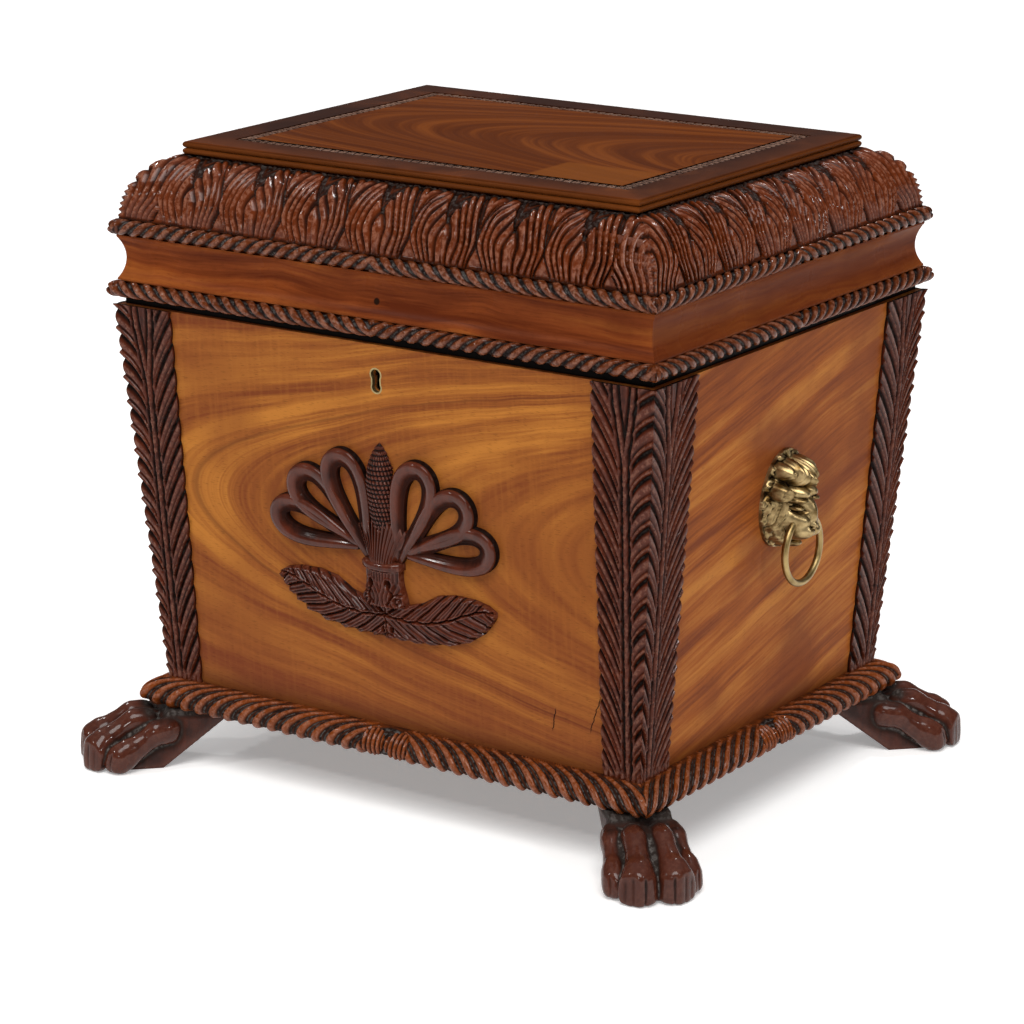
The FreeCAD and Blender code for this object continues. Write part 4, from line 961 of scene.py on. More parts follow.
def strip_height(z, along, pitch, from_vein, inner, outer, climb, splay):
    """Height of a strip's carving, 0 to 1: leaflets, a forked vein and a flamed foot.

    inner and outer are shares of the way from the vein to the strip's inner edge and to the corner."""
    high_in = leaflet(z - climb * inner ** 0.9 - 12.0 * np.log(inner + 0.05), pitch)
    high_out = leaflet(z + 6.0 - splay * np.log(outer + 0.03), pitch)
    high = np.where(from_vein < 0, high_in, high_out)
    fork = 9.0 * smooth(0.78, 1.0, along)
    off = np.abs(np.abs(from_vein) - fork)
    rib = np.exp(-(off / 1.5) ** 2)
    groove = np.exp(-((off - 3.4) / 1.3) ** 2)
    thin = np.exp(-((off - 6.2) / 1.2) ** 2)
    tongue = (np.abs(from_vein) < fork) * smooth(0.0, 3.0, fork - np.abs(from_vein))
    high = high * (1 - tongue) + 0.55 * tongue
    high = np.maximum(high * (1 - 0.85 * groove), 0.7 * thin)
    high = np.clip(high * (1 - rib) + rib, 0, 1)
    foot_leaf = smooth(0.035, 0.0, along)
    flames = 0.5 + 0.5 * np.cos(from_vein * 1.1)
    return high * (1 - foot_leaf) + foot_leaf * (0.55 + 0.45 * flames)


def strip_place(side, hand, pitch, proud):
    """Places of one carved strip: inner edge, carved face, corner edge, and back along the wall."""
    if side in ("left", "right"):
        widths, climb, splay = (48.0, 73.0), 33.0, 26.0
    else:
        widths, climb, splay = (41.0, 67.0), 40.0, 16.0
    start = half_ridge(side)
    corner_index = STRIP_STEPS + 2
    last = STRIP_STEPS + 4

    def place(along, around):
        z = BODY_FOOT + along * (JOINT - BODY_FOOT)
        index = np.rint(around * last).astype(int)
        reach = wall_reach(z)
        width = between(widths, along)
        vein = between(VEIN_OFF, along)
        scallop = 1.8 * (1 - lobe(fract((z - climb - 0.6) / pitch), 2.0))
        face = (index >= 2) & (index <= corner_index)
        corner = start + reach + proud
        x = corner - width + scallop + np.clip((index - 2) / STRIP_STEPS, 0, 1) * (width - scallop)
        from_vein = x - (corner - vein)
        inner = np.clip(-from_vein / (width - vein), 0, 1)
        outer = np.clip(from_vein / vein, 0, 1)
        high = strip_height(z, along, pitch, from_vein, inner, outer, climb, splay)
        lift = np.where(face, 0.5 + (proud - 0.5) * high, 0.0)
        on_corner = index >= corner_index
        lift = np.where(index == corner_index, 0.8 + (proud - 0.8) * high, lift)
        inset = np.where(index <= 1, 0.3, 0.0)
        x = np.where(on_corner, start + reach + lift, x + inset)
        x = np.minimum(x, start + reach + np.where(on_corner, lift, proud + 1))
        x = np.where(face, np.minimum(x, start + reach + lift), x)
        behind = index > corner_index
        sunk = np.where(behind | (index == 0), -0.4, 0.0)
        x = np.where(behind, start + reach - 0.4 - (index - STRIP_STEPS - 2) * 0.1, x)
        x = np.where(index == last, corner - width + scallop + 0.3, x)
        y = -(reach + lift + sunk)
        hollow = np.where(face, np.clip(1.0 - 1.4 * high, 0, 1), 0.6)
        return to_side(np.stack([hand * x, y, z], -1), side), hollow
    return place


def build_corner_leaves(sizes):
    """Two carved strips at each corner."""
    pitch = sizes.leaflet_pitch * 1000
    proud = sizes.strip_relief * 1000
    for corner, (right, back) in CORNERS.items():
        facing = "back" if back > 0 else "front"
        end = "right" if right > 0 else "left"
        facing_hand = right if facing == "front" else -right
        end_hand = back if end == "right" else -back
        for kind, side, hand in (("face", facing, facing_hand), ("end", end, end_hand)):
            place = strip_place(side, hand, pitch, proud)
            piece = swept("feather_strip_%s_%s" % (corner, kind), 330, STRIP_STEPS + 4, place, 70.0)
            finish_carving(piece, "carcase", "strip", "corner_leaves_" + corner)


# ------------------------------------------------------------------ top
def build_top_band(sizes):
    """Flat band of small carved leaves let into the top."""
    top = BAND[1][2]
    foot = BAND[0][2]
    outside = -BAND[0][1]
    inside = -INLAY[0][1] + 0.1
    pitch = sizes.band_pitch * 1000
    outer = even([(inside, top), (outside, top)], 16)
    inner = np.array([(outside, foot), (inside, foot)])

    def carve(x, run, length):
        v = run / length
        share = fract(x / pitch) - 0.5
        half = 0.5 * np.sin(np.clip(v, 0, 1) * math.pi) ** 0.55
        leaf = smooth(0.0, 0.16, half - np.abs(share))
        vein = np.exp(-(share / 0.07) ** 2)
        ridges = 0.5 + 0.5 * np.cos((np.abs(share) * 2 + v) * 2 * math.pi * 3)
        high = leaf * (0.72 + 0.28 * ridges) * (1 - 0.6 * vein)
        return 1.5 * (1 - high), np.clip(1 - high, 0, 1)

    for side in SIDES:
        rows = int(2 * (half_ridge(side) + outside) / 0.8)
        piece = bar("leaf_band_" + side, side, rows, outer, inner, carve)
        nodes = ["top_carved_band"] if side == "front" else []
        finish_carving(piece, "lid", "band", *nodes)


# ------------------------------------------------------------------ lion masks
def over(low, high, blend):
    """The higher of two surfaces, with a soft valley where they meet."""
    share = np.clip(0.5 + 0.5 * (high - low) / blend, 0, 1)
    return low * (1 - share) + high * share + blend * share * (1 - share)


def mound(a, b, middle, half, top, foot=0.0):
    """A rounded lump that stands to a height over an ellipse."""
    distance = ((a - middle[0]) / half[0]) ** 2 + ((b - middle[1]) / half[1]) ** 2
    return foot + (top - foot) * np.sqrt(np.clip(1 - distance, 0, 1))


def line_dent(a, b, start, end, width):
    """1 on a straight groove between two places, fading over its width."""
    start, end = np.array(start, float), np.array(end, float)
    way = end - start
    share = np.clip(((a - start[0]) * way[0] + (b - start[1]) * way[1]) / way.dot(way), 0, 1)
    gap = np.hypot(a - start[0] - share * way[0], b - start[1] - share * way[1])
    return np.exp(-(gap / width) ** 2)


MASK_HALF = (37.4, 46.4)
MASK_ABOVE_BASE = 214.3


def mane(a, b, inner, outer, locks, turn, height, curl):
    """One ring of pointed locks between two shares of the mask's oval."""
    rho = np.hypot(a / MASK_HALF[0], b / MASK_HALF[1])
    angle = np.arctan2(b / MASK_HALF[1], a / MASK_HALF[0])
    along = np.clip((rho - inner) / (outer - inner), 0, 1)
    wind = np.sign(np.cos(angle)) * curl * along ** 1.5
    share = fract((angle + turn) / (2 * math.pi) * locks + wind)
    half = 0.5 * np.sqrt(np.clip(1 - along ** 3.0, 0, 1))
    body = np.sqrt(np.clip(1 - ((share - 0.5) / np.maximum(half, 0.02)) ** 2, 0, 1))
    fine = 0.5 + 0.5 * np.cos((share - 0.5) * 2 * math.pi * 3.0)
    profile = np.sqrt(np.clip(1 - along ** 2, 0, 1)) * smooth(-0.25, 0.15, rho - inner)
    top = height * (0.45 + 0.55 * profile) * (0.62 + 0.38 * body) - 1.0 + 1.1 * fine * body
    return np.where((rho < outer) & (body > 0), top, -0.8)


def hanging_locks(m, b):
    """Long wavy locks that hang down beside the cheeks, with fine strands along them."""
    wave = 1.7 * np.sin((b + 0.5 * m) / 5.2) + 0.9 * np.sin(b / 2.9 + m / 4.0)
    share = fract((m + wave + 0.22 * (b + 10)) / 6.6)
    body = np.sqrt(np.clip(1 - (2 * share - 1) ** 2, 0, 1))
    fine = 0.5 + 0.5 * np.cos(share * 2 * math.pi * 3)
    low = 8.0 + 13.0 * smooth(38.0, 17.0, np.hypot(m, (b + 6.0) * 0.72))
    return low * (0.45 + 0.55 * body) + 1.2 * fine * body - 0.8


# Lumps of the face, from its middle: place, half size, height and how softly each joins the rest.
BROW = (
    ((13.0, -6.0), (11.0, 15.0), 29.0, 5.0),
    ((7.0, 18.0), (11.0, 9.0), 33.5, 4.0),
    ((9.5, 12.2), (9.5, 4.6), 34.5, 3.0),
)
MUZZLE = (
    ((6.5, -8.0), (13.5, 15.0), 36.5, 5.0),
    ((0, -1.0), (10.5, 26.0), 39.5, 5.0),
    ((0, -10.0), (9.0, 8.0), 41.0, 4.0),
    ((5.0, -16.0), (14.0, 13.0), 40.5, 4.5),
    ((0, -31.0), (10.0, 6.0), 26.0, 1.5),
)
# Lines cut in the face and round the eyes: depth, both ends and width.
FACE_LINES = (
    (2.6, (0, 14), (0, 25), 1.9),
    (2.6, (0, -15), (0, -22), 1.0),
    (3.0, (3.4, -12.5), (5.6, -11.4), 1.1),
)
EYE_LINES = (
    (2.6, (5.4, 3.0), (9.6, 8.2), 0.8),
    (2.6, (9.6, 8.2), (15.6, 5.2), 0.8),
    (2.2, (5.8, 2.4), (11.0, 0.8), 0.8),
    (1.6, (11.0, 0.8), (15.6, 4.2), 0.8),
)


def lion(a, b):
    """How proud of the wall a lion's mask stands; a is across, b up from its middle."""
    m = np.abs(a)
    p = mane(a, b, 0.60, 1.0, 16, 0.0, 9.0, 0.5)
    p = over(p, mane(a, b, 0.40, 0.84, 11, 0.2, 15.0, 0.4), 1.2)
    beside = smooth(14.0, 2.0, b) * smooth(1.0, 0.86, np.hypot(a / MASK_HALF[0], b / MASK_HALF[1]))
    p = over(p, hanging_locks(m, b) * beside - 2.0 * (1 - beside), 1.0)
    f = b + 7.0
    face = mound(m, f, (0, 0.0), (22.0, 31.0), 30.0)
    for middle, half, top, blend in BROW:
        face = over(face, mound(m, f, middle, half, top), blend)
    face = face - 9.5 * bump(m, f, (11.0, 4.6), (7.2, 5.0), 0.7)
    for middle, half, top, blend in MUZZLE:
        face = over(face, mound(m, f, middle, half, top), blend)
    for depth, start, end, width in FACE_LINES:
        face = face - depth * line_dent(m, f, start, end, width)
    p = over(p, face, 1.2)
    eye = mound(m, f, (10.4, 4.6), (4.0, 2.8), 30.0, 22.0)
    p = np.where(((m - 10.4) / 4.0) ** 2 + ((f - 4.6) / 2.8) ** 2 < 1, np.maximum(p, eye), p)
    for depth, start, end, width in EYE_LINES:
        p = p - depth * line_dent(m, f, start, end, width)
    ear = mound(m, b, (23.0, 12.0), (8.6, 10.0), 27.0)
    ear = ear - 6.5 * bump(m, b, (24.5, 11.0), (4.4, 6.0), 0.8)
    p = over(p, ear, 1.0)
    lock = mound(m, b, (7.5, 27.0), (9.5, 14.0), 33.0)
    lock = over(lock, mound(m, b, (0.0, 24.0), (5.6, 9.5), 37.5), 1.0)
    lock = lock - 1.5 * (0.5 + 0.5 * np.cos((m + 0.25 * (b - 30)) * 2 * math.pi / 3.3))
    p = over(p, lock, 1.0)
    swept_back = mound(m, b, (17.0, 29.5), (8.0, 9.0), 25.0) - 1.3 * ribs((m * 0.8 + b * 0.5) / 3.2)
    p = over(p, swept_back, 1.0)
    fringe = smooth(20, 25, np.hypot(m, (b - 2) * 0.8))
    p = p - 0.5 * (0.5 + 0.5 * np.cos(np.arctan2(b - 2, m) * 44)) * fringe
    return np.minimum(p, 41.0)


def build_masks():
    """Cast lions' masks on both ends."""
    middle = MASK_ABOVE_BASE / math.cos(WALL_LEAN)
    for side in ("right", "left"):
        piece = new_grid("lion_face_" + side, 205, 205, 2.0)
        s, t, _ = read_points(piece.data).T
        # the square grid is rounded to the mask's oval
        a = MASK_HALF[0] * s * np.sqrt(1 - t * t / 2)
        b = MASK_HALF[1] * t * np.sqrt(1 - s * s / 2)
        edge = np.maximum(np.abs(s), np.abs(t)) > 0.9999
        proud = np.where(edge, -0.8, lion(a, b))
        write_points(piece.data, to_side(off_wall(a, middle + b, proud), side) / 1000)
        close_up(piece, 60.0)
        mark_hollows(piece, 14, 0.0011)
        finish_piece(piece, "carcase", "aged_brass", finish("brass"), "lion_mask_" + side)


# ------------------------------------------------------------------ ornament on the front
SPRAY_FOOT = 88.0 / math.cos(WALL_LEAN)
SPRAY_HALF = 121.0
SPRAY_HEIGHT = 54.0
CUP_FOOT = SPRAY_FOOT + SPRAY_HEIGHT * 0.63
CUP_HEIGHT = 34.0
COLLAR_FOOT = CUP_FOOT + CUP_HEIGHT
COB_FOOT = COLLAR_FOOT + 8.2
COB_LENGTH = 110.0
RIBBON_FOOT = COB_FOOT + 8.2


def build_cob():
    """The ear of corn, with slanting rows of kernels."""
    shares = np.array([0.0, 0.14, 0.40, 0.66, 0.80, 0.90, 0.96, 1.0])
    radii = np.array([0.36, 0.58, 0.84, 0.97, 0.84, 0.56, 0.28, 0.0]) * 16.2

    def place(along, around):
        radius = np.interp(along, shares, radii)
        radius = radius * smooth(1.001, 0.985, along)
        angle = (around - 0.5) * 2 * math.pi
        row = along * COB_LENGTH / 4.3
        turn = angle * 3.8 + 0.32 * row
        kernel = lobe(fract(row), 2.2) * lobe(fract(turn), 2.2)
        lift = -1.8 * (1 - kernel)
        size = np.maximum(radius + lift * smooth(0.0, 8.0, radius), 0)
        proud = np.maximum(size * np.cos(angle) * 14.0 / 16.5, -0.5)
        up = COB_FOOT + along * COB_LENGTH
        return off_wall(size * np.sin(angle), up, proud), np.clip(1.0 - 1.2 * kernel, 0, 1)

    piece = swept("ear_of_corn", 280, 120, place, 70.0)
    finish_carving(piece, "carcase", "ornament", "corn_cob")


def relief_panel(name, columns, rows, shape):
    """A carved relief laid on the front wall; shape gives places and heights over two shares."""
    piece = new_grid(name, columns, rows)
    s, t, _ = (read_points(piece.data) + 0.5).T
    u, w, proud = shape(s, t)
    edge = (s < 0.0001) | (s > 0.9999) | (t < 0.0001) | (t > 0.9999)
    write_points(piece.data, off_wall(u, w, np.where(edge, -0.5, proud)) / 1000)
    close_up(piece, 60.0)
    mark_hollows(piece, 8)
    return piece


def build_husk():
    """Grass-like strands that stand round the foot of the corn."""
    def shape(s, t):
        side = 2 * s - 1
        blade = fract(s * 13)
        tips = 1 - 0.30 * (2 * blade - 1) ** 2 - 0.22 * side ** 2
        w = COLLAR_FOOT + 7.0 + 40.0 * t * tips
        u = side * (13.0 + 15.0 * t ** 1.3)
        round_over = 15.5 * np.sqrt(np.clip(1 - 0.72 * side ** 2, 0, 1)) * (1 - 0.45 * t ** 1.5)
        return u, w, round_over - 1.9 * (1 - lobe(blade, 2.0)) - 0.7 * t

    piece = relief_panel("husk_strands", 230, 52, shape)
    finish_carving(piece, "carcase", "ornament")


# Ribbon loops to one side: root across and up, lean in degrees, length and swell.
LOOPS = (
    (16.0, -9.0, 72.3, 95.6, 25.0),
    (26.0, 4.0, 39.3, 84.4, 24.4),
    (25.5, 0.0, 12.4, 92.3, 22.3),
)


def loop_line(loop, share):
    """Middle line of one ribbon loop, a teardrop out from its root and back."""
    root_across, root_up, lean, length, swell = loop
    turn = math.pi * share
    along = length * np.sin(turn) ** 2
    across = 2 * swell * np.sin(turn) ** 3 * np.cos(turn)
    angle = math.radians(lean)
    u = root_across + along * math.cos(angle) - across * math.sin(angle)
    w = root_up + along * math.sin(angle) + across * math.cos(angle)
    return np.stack([u, RIBBON_FOOT + w], -1)


# Section of a ribbon: shares of its half width and heights off the wall.
RIBBON_SECTION = np.array([
    (1.0, -0.5), (1.03, 3.0), (1.0, 6.0), (0.92, 8.0), (0.76, 9.2), (0.52, 9.8), (0.24, 9.6), (-0.06, 8.8),
    (-0.34, 7.4), (-0.58, 6.0), (-0.74, 5.3), (-0.86, 5.7), (-0.96, 5.3), (-1.0, 4.0), (-1.0, -0.5),
])


def ribbon_place(loop, hand):
    """Places of one hollowed ribbon loop."""
    def place(along, around):
        share = 0.04 + 0.92 * along
        middle = loop_line(loop, share)
        way = loop_line(loop, share + 0.001) - loop_line(loop, share - 0.001)
        way = way / np.linalg.norm(way, axis=1)[:, None]
        normal = np.stack([-way[:, 1], way[:, 0]], -1)
        half = (6.5 + 11.5 * np.sin(math.pi * share)) / 2
        knots = range(len(RIBBON_SECTION))
        across, proud = (np.interp(around * (len(knots) - 1), knots, line) for line in RIBBON_SECTION.T)
        flat = middle + normal * (across * half)[:, None]
        sink = 0.35 + 0.65 * np.sin(math.pi * share) ** 0.5
        proud = np.where(proud > 0, proud * sink, proud)
        # painted shade: the ribbon's inner side is marked darker, and its edges down by the wall darker still
        hollow = 0.12 + 0.45 * smooth(0.2, -0.7, across)
        hollow = np.where((proud < 2.5) | (across > 0.98), 0.7, hollow)
        return off_wall(hand * flat[:, 0], flat[:, 1], proud), hollow
    return place


def build_ribbons():
    """Three hollowed ribbon loops to each side of the corn."""
    nodes = ["ribbon_loops"]
    for hand, side in ((-1, "left"), (1, "right")):
        for number, loop in enumerate(LOOPS, 1):
            piece = swept("ribbon_loop_%s_%d" % (side, number), 150, 56, ribbon_place(loop, hand), 40.0)
            finish_carving(piece, "carcase", "ornament", *nodes)
            nodes = []


def build_cup():
    """The cup under the corn: fluted above, with two drilled eyes and scrolls at its lower corners."""
    def cup(s, t):
        share = 2 * s - 1
        half = 23.0 - 4.6 * smooth(0.0, 0.75, t)
        m = np.abs(share) * half
        h = CUP_HEIGHT * t
        proud = 15.0 * (1 - 0.5 * np.abs(share) ** 3)
        proud = proud - 1.1 * (1 - ribs(m / 3.1 + 0.5)) * smooth(22.0, 26.0, h)
        strand = ribs((m + 2.2 * np.sin(h / 5.0)) / 4.4)
        proud = proud - 1.5 * (1 - strand) * smooth(26.0, 20.0, h)
        eye = np.hypot(m - 9.0, (h - 22.5) * 0.8)
        proud = proud + 1.0 * np.exp(-((eye - 4.2) / 1.3) ** 2) - 8.0 * np.exp(-(eye / 2.1) ** 2)
        proud = proud - 3.2 * line_dent(m, h, (9.0, 19.0), (12.5, 11.0), 1.1)
        proud = proud - 3.2 * line_dent(m, h, (12.5, 11.0), (7.0, 2.0), 1.1)
        scroll = np.hypot(m - 17.0, h - 6.0)
        coil = 2.4 * (1 - ribs(scroll / 4.6 + 0.5)) * smooth(7.6, 6.4, scroll)
        return share * half, CUP_FOOT + h, proud + 1.6 * smooth(7.4, 5.6, scroll) - coil

    def collar(s, t):
        share = 2 * s - 1
        proud = 16.4 * (1 - 0.4 * np.abs(share) ** 3) - 3.2 * (1 - np.sqrt(lobe(t, 2.0)))
        return share * 20.8, COLLAR_FOOT + 8.0 * t, proud

    piece = relief_panel("scrolled_cup", 150, 120, cup)
    finish_carving(piece, "carcase", "ornament", "calyx_cup")
    piece = relief_panel("cup_collar", 90, 24, collar)
    finish_carving(piece, "carcase", "ornament")


# One spread leaf over shares of its length and height: lower edge, upper edge and midrib.
LEAF_LOW = np.array([
    (0.0, 0.00), (0.30, 0.01), (0.52, 0.06), (0.72, 0.18), (0.88, 0.42), (0.965, 0.66), (1.0, 0.80),
])
LEAF_HIGH = np.array([
    (0.0, 0.66), (0.20, 0.66), (0.32, 0.74), (0.46, 0.93), (0.62, 1.0), (0.80, 0.99), (0.92, 0.93),
    (1.0, 0.82),
])
LEAF_RIB = np.array([
    (0.0, 0.44), (0.20, 0.40), (0.40, 0.44), (0.58, 0.56), (0.74, 0.73), (0.90, 0.86), (1.0, 0.81),
])


def leaf_shape(hand):
    """A leaf that spreads to one side, veined outwards from a double midrib."""
    def leaf(s, t):
        share = 0.004 + 0.985 * s
        low, high, rib = (np.interp(share, *line.T) for line in (LEAF_LOW, LEAF_HIGH, LEAF_RIB))
        w = (low + (high - low) * t) * SPRAY_HEIGHT
        u = share * SPRAY_HALF
        off = w - rib * SPRAY_HEIGHT
        away = np.abs(off)
        reach = np.where(off > 0, high - rib, rib - low) * SPRAY_HEIGHT + 0.5
        origin = u - 1.15 * away - 0.012 * away ** 2
        phase = origin / 16.5 + np.where(off > 0, 0.0, 0.45)
        lobes = lobe(fract(phase), 2.0)
        scallop = np.where(away > 0.72 * reach, (away / reach - 0.72) / 0.28, 0) ** 2
        fine = ribs(phase * 3)
        roll = 1 - 0.45 * (away / reach) ** 2 + 0.18 * np.exp(-((away / reach - 0.80) / 0.12) ** 2)
        proud = 8.8 * roll - 3.2 * (1 - lobes) - 1.0 * (1 - fine) - 6.5 * scallop * (1 - lobes)
        proud = proud + 1.1 * np.exp(-((away - 1.9) / 0.9) ** 2) - 2.4 * np.exp(-(off / 0.7) ** 2)
        proud = proud * (0.80 + 0.20 * smooth(1.0, 0.86, share))
        drill = np.hypot(u - 5.0, (w - 8.0) * 0.45)
        proud = proud - 6.0 * np.exp(-(drill / 1.8) ** 2)
        return hand * u, SPRAY_FOOT + w, np.clip(proud, 0.6, 9.0)
    return leaf


def build_spray():
    """Two leaves spread to the sides under the cup."""
    for hand, side, nodes in ((-1, "left", ["leaf_spray"]), (1, "right", [])):
        piece = relief_panel("spread_leaf_" + side, 270, 124, leaf_shape(hand))
        finish_carving(piece, "carcase", "ornament", *nodes)


# ------------------------------------------------------------------ paw feet
def tube(name, path):
    """A closed limb in the foot's own frame: path rows are (out, across, up, half width, half thickness)."""
    knots = np.linspace(0, 1, len(path))

    def line(share, column):
        return np.interp(share, knots, path[:, column])

    def place(along, around):
        out, across, up, wide, thick = (line(along, c) for c in range(5))
        ends = np.sqrt(np.clip(1 - np.abs(2 * along - 1) ** 14, 0, 1))
        ahead = np.minimum(along + 0.02, 1)
        behind = np.maximum(along - 0.02, 0)
        way = np.stack([line(ahead, c) - line(behind, c) for c in (0, 2)], -1)
        way = way / np.linalg.norm(way, axis=1)[:, None]
        angle = around * 2 * math.pi
        a = wide * ends * np.cos(angle)
        b = thick * ends * np.sin(angle)
        points = np.stack([out - way[:, 1] * b, across + a, up + way[:, 0] * b], -1)
        return points, 0 * out

    return swept(name, 60, 28, place)


# Rows of (out, across, up, half width, half thickness): upper knuckle, waist, lower knuckle, front.
INNER_TOE = (
    (-14, 12, 41, 9.0, 12.0), (-4, 12, 43.5, 11.0, 12.8), (7, 12, 43.4, 11.2, 12.6),
    (17, 12.6, 37.5, 10.4, 11.2), (27, 14, 31.5, 11.4, 11.6), (35, 15.8, 27, 14.0, 13.6),
    (41, 16.8, 20.5, 16.8, 16.0), (44.5, 17.2, 12, 17.4, 12.8), (46, 17.2, 4, 16.6, 10.8),
    (46, 17.2, 0, 15.0, 10.0),
)
OUTER_TOE = (
    (-36, 25, 34, 7.0, 12.0), (-24, 27.5, 37, 9.6, 13.0), (-13, 29, 36.4, 10.0, 12.6),
    (-4, 30, 30.5, 8.4, 10.6), (5, 31.5, 24.5, 8.8, 11.4), (13, 33, 20.5, 10.6, 13.6),
    (21, 33.5, 15, 11.4, 14.6), (25, 33.5, 8, 11.2, 12.4), (26, 33.5, 0, 10.0, 11.0),
)
INNER_WEB = (
    (-20, 0, 41, 9.0, 10.0), (2, 0, 42, 9.0, 9.0), (20, 0, 30, 9.0, 8.0), (36, 0, 16, 8.0, 10.0),
    (40, 0, 0, 8.0, 9.0),
)
OUTER_WEB = (
    (-30, 22, 37, 8.0, 10.0), (-12, 22, 38, 8.0, 9.0), (8, 24, 25, 8.0, 9.0), (22, 27, 11, 8.0, 10.0),
    (27, 27, 0, 8.0, 8.0),
)
# Where the foot meets the underside of the base moulding.
FOOT_TOP = 56.9
# The bracket behind the paw: half its width, and (out, up) for the corners of its side view.
BRACKET_HALF = 27.6
BRACKET = {
    (-1, -1): (-19.0, 0.0), (-1, 1): (-92.5, FOOT_TOP),
    (1, -1): (24.0, 0.0), (1, 1): (-26.0, FOOT_TOP),
}
# Grooves beside the claws: middle of the toe across, where they start outwards, and how high they reach.
CLAWS = ((18.0, 40.0, 27.0), (34.0, 20.0, 22.0))


def paw_block(name):
    """Toes, webs and bracket of one foot, merged under one skin."""
    pieces = []
    for hand in (-1, 1):
        for limb in (INNER_TOE, OUTER_TOE, INNER_WEB, OUTER_WEB):
            pieces.append(tube("toe", np.array(limb) * (1, hand, 1, 1, 1)))
    deselect_all()
    bpy.ops.mesh.primitive_cube_add(size=1.0)
    block = bpy.context.object
    corners = read_points(block.data)
    out, up = np.array([BRACKET[(int(np.sign(x)), int(np.sign(z)))] for x, _, z in corners]).T
    write_points(block.data, np.stack([out, np.sign(corners[:, 1]) * BRACKET_HALF, up], -1) / 1000)
    deselect_all()
    for piece in pieces:
        piece.select_set(True)
    block.select_set(True)
    bpy.context.view_layer.objects.active = block
    bpy.ops.object.join()
    block.name = name
    block.data.name = name
    modifier = block.modifiers.new("Merge", "REMESH")
    modifier.mode = "VOXEL"
    modifier.voxel_size = 0.00125
    bpy.ops.object.modifier_apply(modifier="Merge")
    return block


def build_foot(corner):
    """A carved paw that points out from its corner, on a flat-sided bracket."""
    right, back = CORNERS[corner]
    block = paw_block("paw_" + corner)
    mesh = block.data
    out, across, up = (neighbours_mean(mesh, read_points(mesh), 2) * 1000).T
    for middle, front, height in CLAWS:
        off = np.abs(np.abs(across) - middle)
        low = smooth(height + 4, height - 4, up) * smooth(front, front + 8, out)
        out = out - (1.7 * np.exp(-((off - 5.0) / 1.3) ** 2) - 0.6 * np.exp(-(off / 2.2) ** 2)) * low
    up = np.clip(up, 0, FOOT_TOP)
    # the foremost places are pressed softly back inside the foot's own box
    away = math.sqrt(0.5)
    spare = 12.0
    limit = (box_mm("paw_foot_front_right")[1][0] - RIDGE - BASE_OUT) / away - spare
    past = out + np.abs(across) - limit
    out = out - np.where(past > 0, past - spare * np.tanh(past / spare), 0)
    x = right * (RIDGE + BASE_OUT + away * (out + across))
    y = back * (BASE_OUT + away * (out - across))
    write_points(mesh, np.stack([x, y, up], -1) / 1000)
    close_up(block, weld=False)
    # painted shade: the top of the paw, under the base moulding, is marked as a hollow
    shaded = smooth(42.0, 54.0, up) * smooth(8.0, -8.0, out) * 0.75
    mark_hollows(block, 24, 0.0016, shaded)
    finish_carving(block, "carcase", "foot", "paw_foot_" + corner)


# ------------------------------------------------------------------ frame pieces and stage
# Frame pieces that stay as they are, by their finish.
KEPT = {
    "front": ("front_panel",),
    "sides": ("back_panel", "left_panel", "right_panel"),
    "cavetto": ["cavetto_" + side for side in SIDES],
    "border": ("top_board",),
    "top": ("top_panel",),
    "inner": ("floor_board", "long_dividers", "cross_dividers"),
    "lead": ("lead_liner",),
    "ring": ("lock_case", "lock_striker", "hinge_lower_left", "hinge_lower_right", "hinge_upper_left",
             "hinge_upper_right", "ring_handle_left", "ring_handle_right"),
    "thread": ("escutcheon",),
    "steel": ("hinge_pins", "lock_bolt", "carcase_screws", "lid_screws", "handle_bolts", "handle_nuts"),
}


def finish_frame():
    """Give the frame's own pieces their finishes."""
    for name, nodes in KEPT.items():
        for node in nodes:
            set_finish(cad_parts[node], finish(name))


def lamp(name, place, aim, size, power, tone):
    """A soft square lamp that points at a place."""
    deselect_all()
    bpy.ops.object.light_add(type="AREA", location=place)
    light = bpy.context.object
    light.name = name
    away = np.array(place) - np.array(aim)
    flat = math.hypot(away[0], away[1])
    light.rotation_euler = (math.atan2(flat, away[2]), 0, math.atan2(away[0], -away[1]))
    light.data.shape = "SQUARE"
    light.data.size = size
    light.data.energy = power
    light.data.color = tone


def white_floor():
    """White paper under the object."""
    deselect_all()
    bpy.ops.mesh.primitive_plane_add(size=30.0)
    floor = bpy.context.object
    floor.name = "studio_floor"
    paper = Finish("studio_paper", Roughness=0.9, Specular_IOR_Level=0.1)
    cloud = paper.noise(paper.place(), 3.0, 2.0, 0.5)
    paper.set(Base_Color=paper.ramp(cloud, (0.0, 0.985), (1.0, 1.0)))
    rays = paper.node("ShaderNodeLightPath").outputs
    seen = Value(paper, rays["Is Camera Ray"])
    for kind in ("Is Glossy Ray", "Is Transmission Ray"):
        seen = paper.math("MAXIMUM", seen, Value(paper, rays[kind]))
    paper.set(Emission_Color=(1, 1, 1, 1), Emission_Strength=seen * 0.28)
    set_finish(floor, paper.material)


